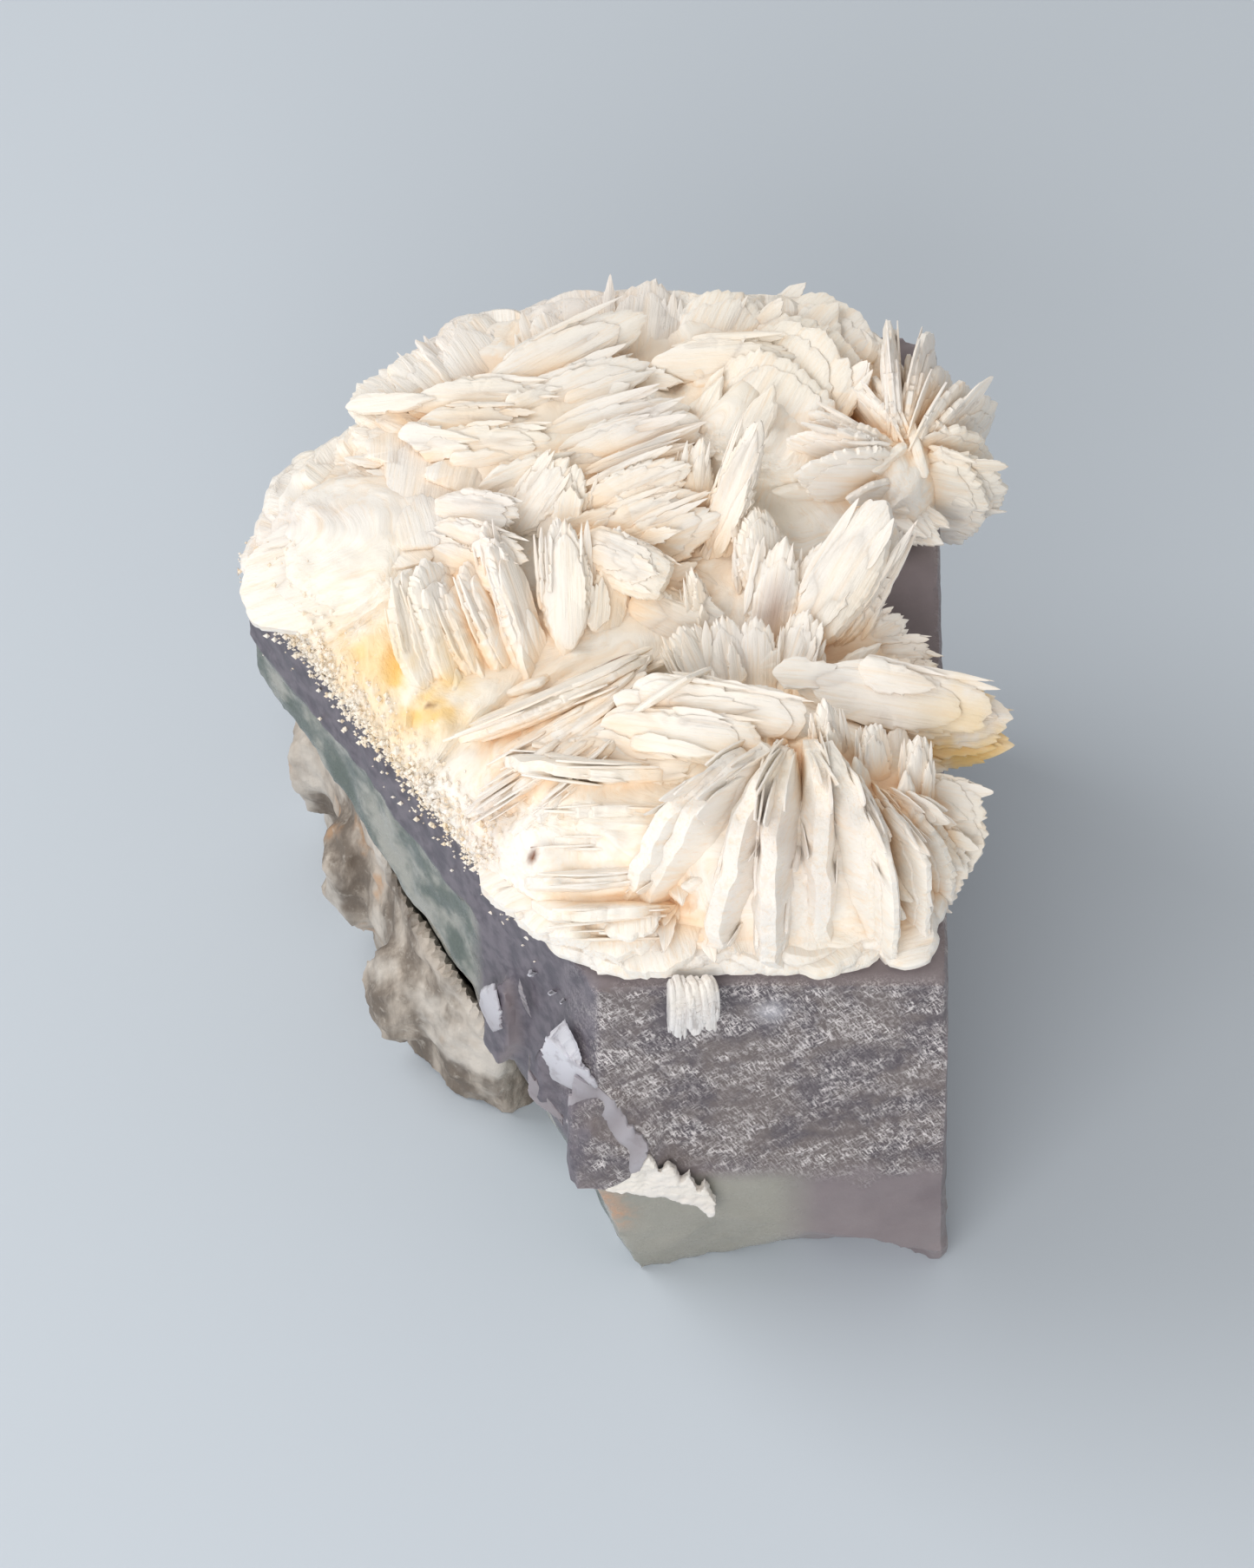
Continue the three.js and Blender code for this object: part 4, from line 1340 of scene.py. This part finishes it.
def fluorite_finish():
    made = Finish("etched_fluorite")
    place = made.place()
    cloud = made.noise(place, 95, 4)
    patch = made.noise(place, 260, 4, 0.6)
    fine = made.noise(place, 900, 5, 0.65)
    speck = made.noise(place, 3800, 3, 0.6)
    falling, crossing, rising = (
        made.stretched(made.stretched(place, (1, 1, 1), (0, tilt, 0)), scale)
        for tilt, scale in ((27, (1, 1, 0.2)), (-48, (1, 1, 0.25)), (37, (0.6, 1, 1)))
    )
    strokes = made.noise(falling, 7000, 5, 0.7, 0.5)
    nicks = made.noise(crossing, 6400, 5, 0.7, 0.5)
    banks = made.noise(rising, 420, 5, 0.65, 0.6)
    net = made.sum("MAXIMUM", made.span(strokes, 0.49, 0.57), made.span(nicks, 0.51, 0.6))
    net = made.sum("MULTIPLY", net, made.span(banks, 0.38, 0.56, 0.15, 1))
    worn = made.noise(place, 480, 5, 0.72, 1.4)
    net = made.sum("MULTIPLY", net, made.span(worn, 0.4, 0.58, 0.3, 1))
    net = made.sum("MULTIPLY", net, made.attribute("frost"))
    clouded = made.span(cloud, 0.3, 0.7)
    base = made.mix(clouded, rgb(0.20, 0.165, 0.178), rgb(0.29, 0.25, 0.26))
    patched = made.span(patch, 0.4, 0.6)
    etched = made.mix(patched, rgb(0.10, 0.083, 0.096), rgb(0.17, 0.14, 0.135))
    base = made.mix(made.attribute("frost"), base, etched)
    crumbly = made.span(fine, 0.35, 0.65)
    # painted shade for the left-facing broken side, over a crumbly mottle
    painted_dark_shade = made.mix(crumbly, rgb(0.075, 0.064, 0.085), rgb(0.175, 0.157, 0.185))
    colour = made.mix(made.attribute("broken_left_painted_shade"), base, painted_dark_shade)
    colour = made.mix(net, colour, FROST)
    pale = made.sum("MULTIPLY", made.attribute("pale"), made.span(fine, 0.3, 0.5, 0.6, 1))
    colour = made.mix(pale, colour, PALE)
    olive = made.mix(clouded, rgb(0.27, 0.265, 0.23), rgb(0.36, 0.35, 0.31))
    veiled = made.span(patch, 0.4, 0.62)
    # darker green: painted shade on the left-facing part of the glassy zone
    wedge = made.mix(veiled, rgb(0.11, 0.135, 0.12), rgb(0.36, 0.36, 0.325))
    glassy = made.attribute("glassy")
    colour = made.mix(glassy, colour, made.mix(made.attribute("broken_left_painted_shade"), olive, wedge))
    grains = made.sum("ADD", made.attribute("sugared"), made.sum("MULTIPLY", speck, 0.9))
    colour = made.mix(made.span(grains, 0.86, 1.0), colour, SUGAR)
    tinted = made.sum("MULTIPLY", made.attribute("tinted"), made.span(fine, 0.3, 0.6))
    colour = made.mix(tinted, colour, TINT)
    dull = made.span(fine, 0.3, 0.7, 0.3, 0.55)
    made.set(
        Base_Color=colour,
        Roughness=made.sum("SUBTRACT", dull, made.sum("MULTIPLY", glassy, 0.18)),
        Subsurface_Weight=0.25,
        Subsurface_Radius=(1.0, 0.85, 0.95),
        Subsurface_Scale=1.2 * METRES,
        Normal=made.bump(net, 0.5, 0.12, made.bump(fine, 0.4, 0.14)),
    )
    return made


FLUORITE = fluorite_finish()
SHARP = 30  # degrees between faces from which an edge of the fluorite is drawn sharp
OF_CRYSTAL = ("fluorite", "fluorite_crystal")
make_piece(
    "etched_crystal", crystal, crystal_faces, FLUORITE, *OF_CRYSTAL, crystal_values, SHARP
)

# %% [markdown]
# ## Cleavage flakes
# Fluorite splits along flat planes. Where the front left corner broke away, thin flakes still lie
# on it, some pale because they have lifted, one large and rippled like a shell. Each is one plate
# laid on the broken face, and where it would stand off the face it is bent back until it lies
# close to it.

# %% Cleavage flakes
skin = KDTree(len(crystal))
for k, point in enumerate(crystal):
    skin.insert(point, k)
skin.balance()
LIFT = 0.45  # mm, the most that a flake stands off the crystal
RIPPLE_HEIGHT = 0.07  # mm
MANY_RIPPLES, FEW_RIPPLES = 26, 5  # radians of ripple over a large and a small flake


def laid_down(points):
    """The points of a flake, bent back where they stand off the crystal by more than LIFT."""
    found = [skin.find(point) for point in points]
    nearest = np.array([index for _, index, _ in found])
    height = ((points - crystal[nearest]) * crystal_normals[nearest]).sum(1)
    return points - crystal_normals[nearest] * np.clip(height - LIFT, 0, None)[:, None]


SHELL = plate_pattern(96, np.linspace(0.1, 1, 10))
FLAKES = [  # middle, way it faces, turn in its own plane, length, width, thickness, paleness
    ((-9.1, -17.8, 20.3), (-0.81, -0.58, 0), 8, 6.4, 3.8, 0.3, 0.75),
    ((-3.85, -24.55, 23.2), (-0.47, -0.88, 0), -16, 7.6, 4.6, 0.36, 1.0),
    ((-1.3, -25.65, 17.0), (-0.2, -0.98, 0), -20, 12.5, 6.6, 0.6, 0.4),
    ((-6.0, -23.2, 18.4), (-0.55, -0.83, 0), -30, 7.5, 2.6, 0.3, 0.2),
    ((-7.2, -20.3, 24.0), (-0.8, -0.6, 0), -24, 4.0, 1.2, 0.3, 0.3),
    ((-6.3, -20.1, 27.4), (-0.8, -0.6, 0), 40, 1.6, 0.4, 0.4, 1.0),
    ((-5.0, -21.8, 27.6), (-0.8, -0.6, 0), 48, 1.2, 0.35, 0.4, 1.0),
    ((-4.2, -22.8, 28.0), (-0.8, -0.6, 0), 44, 0.9, 0.3, 0.4, 0.9),
]
flakes = Growth()
paleness = []
for k, (middle, way, turn, length, width, thick, pale) in enumerate(FLAKES):
    facing = np.array(way, float) / np.linalg.norm(way)
    level = np.cross((0, 0, 1), facing)
    level = level / np.linalg.norm(level)
    upright = np.cross(facing, level)
    angle = math.radians(turn)
    along = upright * math.cos(angle) + level * math.sin(angle)
    corners = shard((length, width), np.random.default_rng(60 + k))
    axes = (along, np.cross(facing, along), facing)
    points, places, roots = plate(
        SHELL, axes, np.array(middle), corners, thick, 80 + k, 0.5, 0.0
    )
    ripples = MANY_RIPPLES if length > 10 else FEW_RIPPLES
    ripple = np.hypot(places[:, 0] / length - 0.5, places[:, 1] / width) * ripples
    laid = laid_down(points) + np.outer(RIPPLE_HEIGHT * np.sin(ripple), facing)
    flakes.add(SHELL, (laid, places, roots))
    paleness.append(pale * (0.8 + 0.2 * np.sin(ripple)))
flakes = flakes.arrays()
calm = np.zeros(len(flakes["points"]))
values = {name: calm for name in crystal_values}
values["pale"] = np.concatenate(paleness)
make_piece(
    "cleavage_flakes", flakes["points"], flakes["faces"], FLUORITE, *OF_CRYSTAL, values, SHARP
)

# %% [markdown]
# ## Sugar along the edge
# Where the crust meets the broken left side it breaks up into loose cream grains that stick to
# the fluorite below and to the crust above. Each grain is a tiny eight-sided lump, thick along
# the edge and thin away from it.

# %% Sugar grains
rng = np.random.default_rng(77)
LEFT_FACE = (0.8, 0.6, 0)  # points inward from the broken left face
LEFT_REACH = 16.8  # mm from the middle of the specimen to that face


def sprinkled(points, chance, count):
    """Middles of grains strewn over a skin, more of them where the chance is high."""
    chosen = rng.choice(len(points), count, p=chance / chance.sum())
    return points[chosen] + rng.normal(0, 0.25, (count, 3))


on_crystal = crystal_values["sugared"] * np.exp(-np.clip(below_top, 0, 40) / 1.5)
on_crystal = on_crystal * (x < -6) * (y < 8)
inward = np.clip(LEFT_REACH + mass_points @ LEFT_FACE, 0, 20)
on_crust = np.exp(-inward / 0.45) * (mass_points[:, 1] < 7) * (mass_points[:, 1] > -17)
BELOW, ABOVE = 4600, 2000  # grains on the crystal and on the crust
strewn = [sprinkled(crystal, on_crystal, BELOW), sprinkled(mass_points, on_crust, ABOVE)]
middles = np.concatenate(strewn)
GRAINS = len(middles)
OCTAHEDRON = np.array([(1, 0, 0), (-1, 0, 0), (0, 1, 0), (0, -1, 0), (0, 0, 1), (0, 0, -1)])
UPPER_SIDES = [(0, 2, 4), (2, 1, 4), (1, 3, 4), (3, 0, 4)]
LOWER_SIDES = [(2, 0, 5), (1, 2, 5), (3, 1, 5), (0, 3, 5)]
SIDES = np.array(UPPER_SIDES + LOWER_SIDES)
reach = 0.07 + 0.22 * rng.random((GRAINS, 1, 1)) ** 2
stretch = rng.uniform(0.6, 1.3, (GRAINS, 6, 3))
grain_points = (middles[:, None] + OCTAHEDRON * reach * stretch).reshape(-1, 3)
grain_faces = (SIDES + np.arange(GRAINS)[:, None, None] * 6).reshape(-1, 3)
# each grain gets a random share of painted root and crevice shade, and of stain
shade = np.repeat(rng.random(GRAINS), 6)
values = barite_values(grain_points, shade * 0.6, shade * 0.4, shade * 0.3)
make_piece("edge_sugar", grain_points, grain_faces, BARITE, "barite", "barite_rosettes", values)

# %% [markdown]
# ## The host rock
# Tan and white vein rock clings to the lower left. It broke with no flat faces, so its skin is
# pushed in and out at several sizes, from knobs as big as a pea down to grains. Close to the
# crystal it is pushed outward, because the rock has grown onto the crystal and leaves no gap.

# %% Host rock
ROCK_VOXEL = 0.36  # mm
GROWN_ON = 0.45  # mm by which the rock is pushed toward the crystal
rock_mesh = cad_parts["host_rock"].data.copy()
rock, rock_normals, rock_faces = remeshed_mesh(rock_mesh, ROCK_VOXEL)
to_crystal = np.array([skin.find(point)[2] for point in rock])
rock_push = 0.42 * rough_field(rock, 3.4, 31, 4) + 0.16 * grain(rock, 0.8, 36) - 0.1
rock_push = rock_push + GROWN_ON * np.clip(1 - to_crystal / 2, 0, 1)
rock = rock + rock_normals * rock_push[:, None]
rock[:, 2] = np.maximum(rock[:, 2], 0)
print("rock points:", len(rock), "touching the crystal:", int((to_crystal < 1).sum()))


# %% [markdown]
# ## The rock's finish
# Dull and without gloss: grey-brown streaks, pale patches, a little rust and sand.

# %% Rock finish
def rock_finish():
    made = Finish("tan_host_rock")
    place = made.place()
    streaks = made.noise(made.stretched(place, (1, 1, 0.3)), 330, 5, 0.62)
    patches = made.noise(place, 120, 4, 0.6)
    sand = made.noise(place, 1100, 4, 0.7)
    colour = made.mix(made.span(streaks, 0.38, 0.62), rgb(0.17, 0.14, 0.115), rgb(0.50, 0.44, 0.38))
    colour = made.mix(made.span(patches, 0.5, 0.66, 0, 0.8), colour, rgb(0.66, 0.62, 0.57))
    rusty = made.span(made.noise(place, 210, 3), 0.6, 0.72, 0, 0.7)
    colour = made.mix(rusty, colour, rgb(0.48, 0.28, 0.15))
    colour = made.mix(made.span(sand, 0.55, 0.75, 0, 0.4), colour, rgb(0.72, 0.68, 0.62))
    made.set(
        Base_Color=colour,
        Roughness=made.span(sand, 0.3, 0.7, 0.7, 0.9),
        Normal=made.bump(sand, 0.6, 0.25),
    )
    return made


ROCK = rock_finish()
make_piece("host_rock_skin", rock, rock_faces, ROCK, "host_rock", "host_rock", None, 50)

# %% [markdown]
# ## Last look
# The finished specimen must stay the size of its solid model, so every piece is clipped to its box
# as it is made; here the triangles of all the pieces are counted.

# %% Triangles and the end
print("triangles in all:", sum(TRIANGLES.values()))
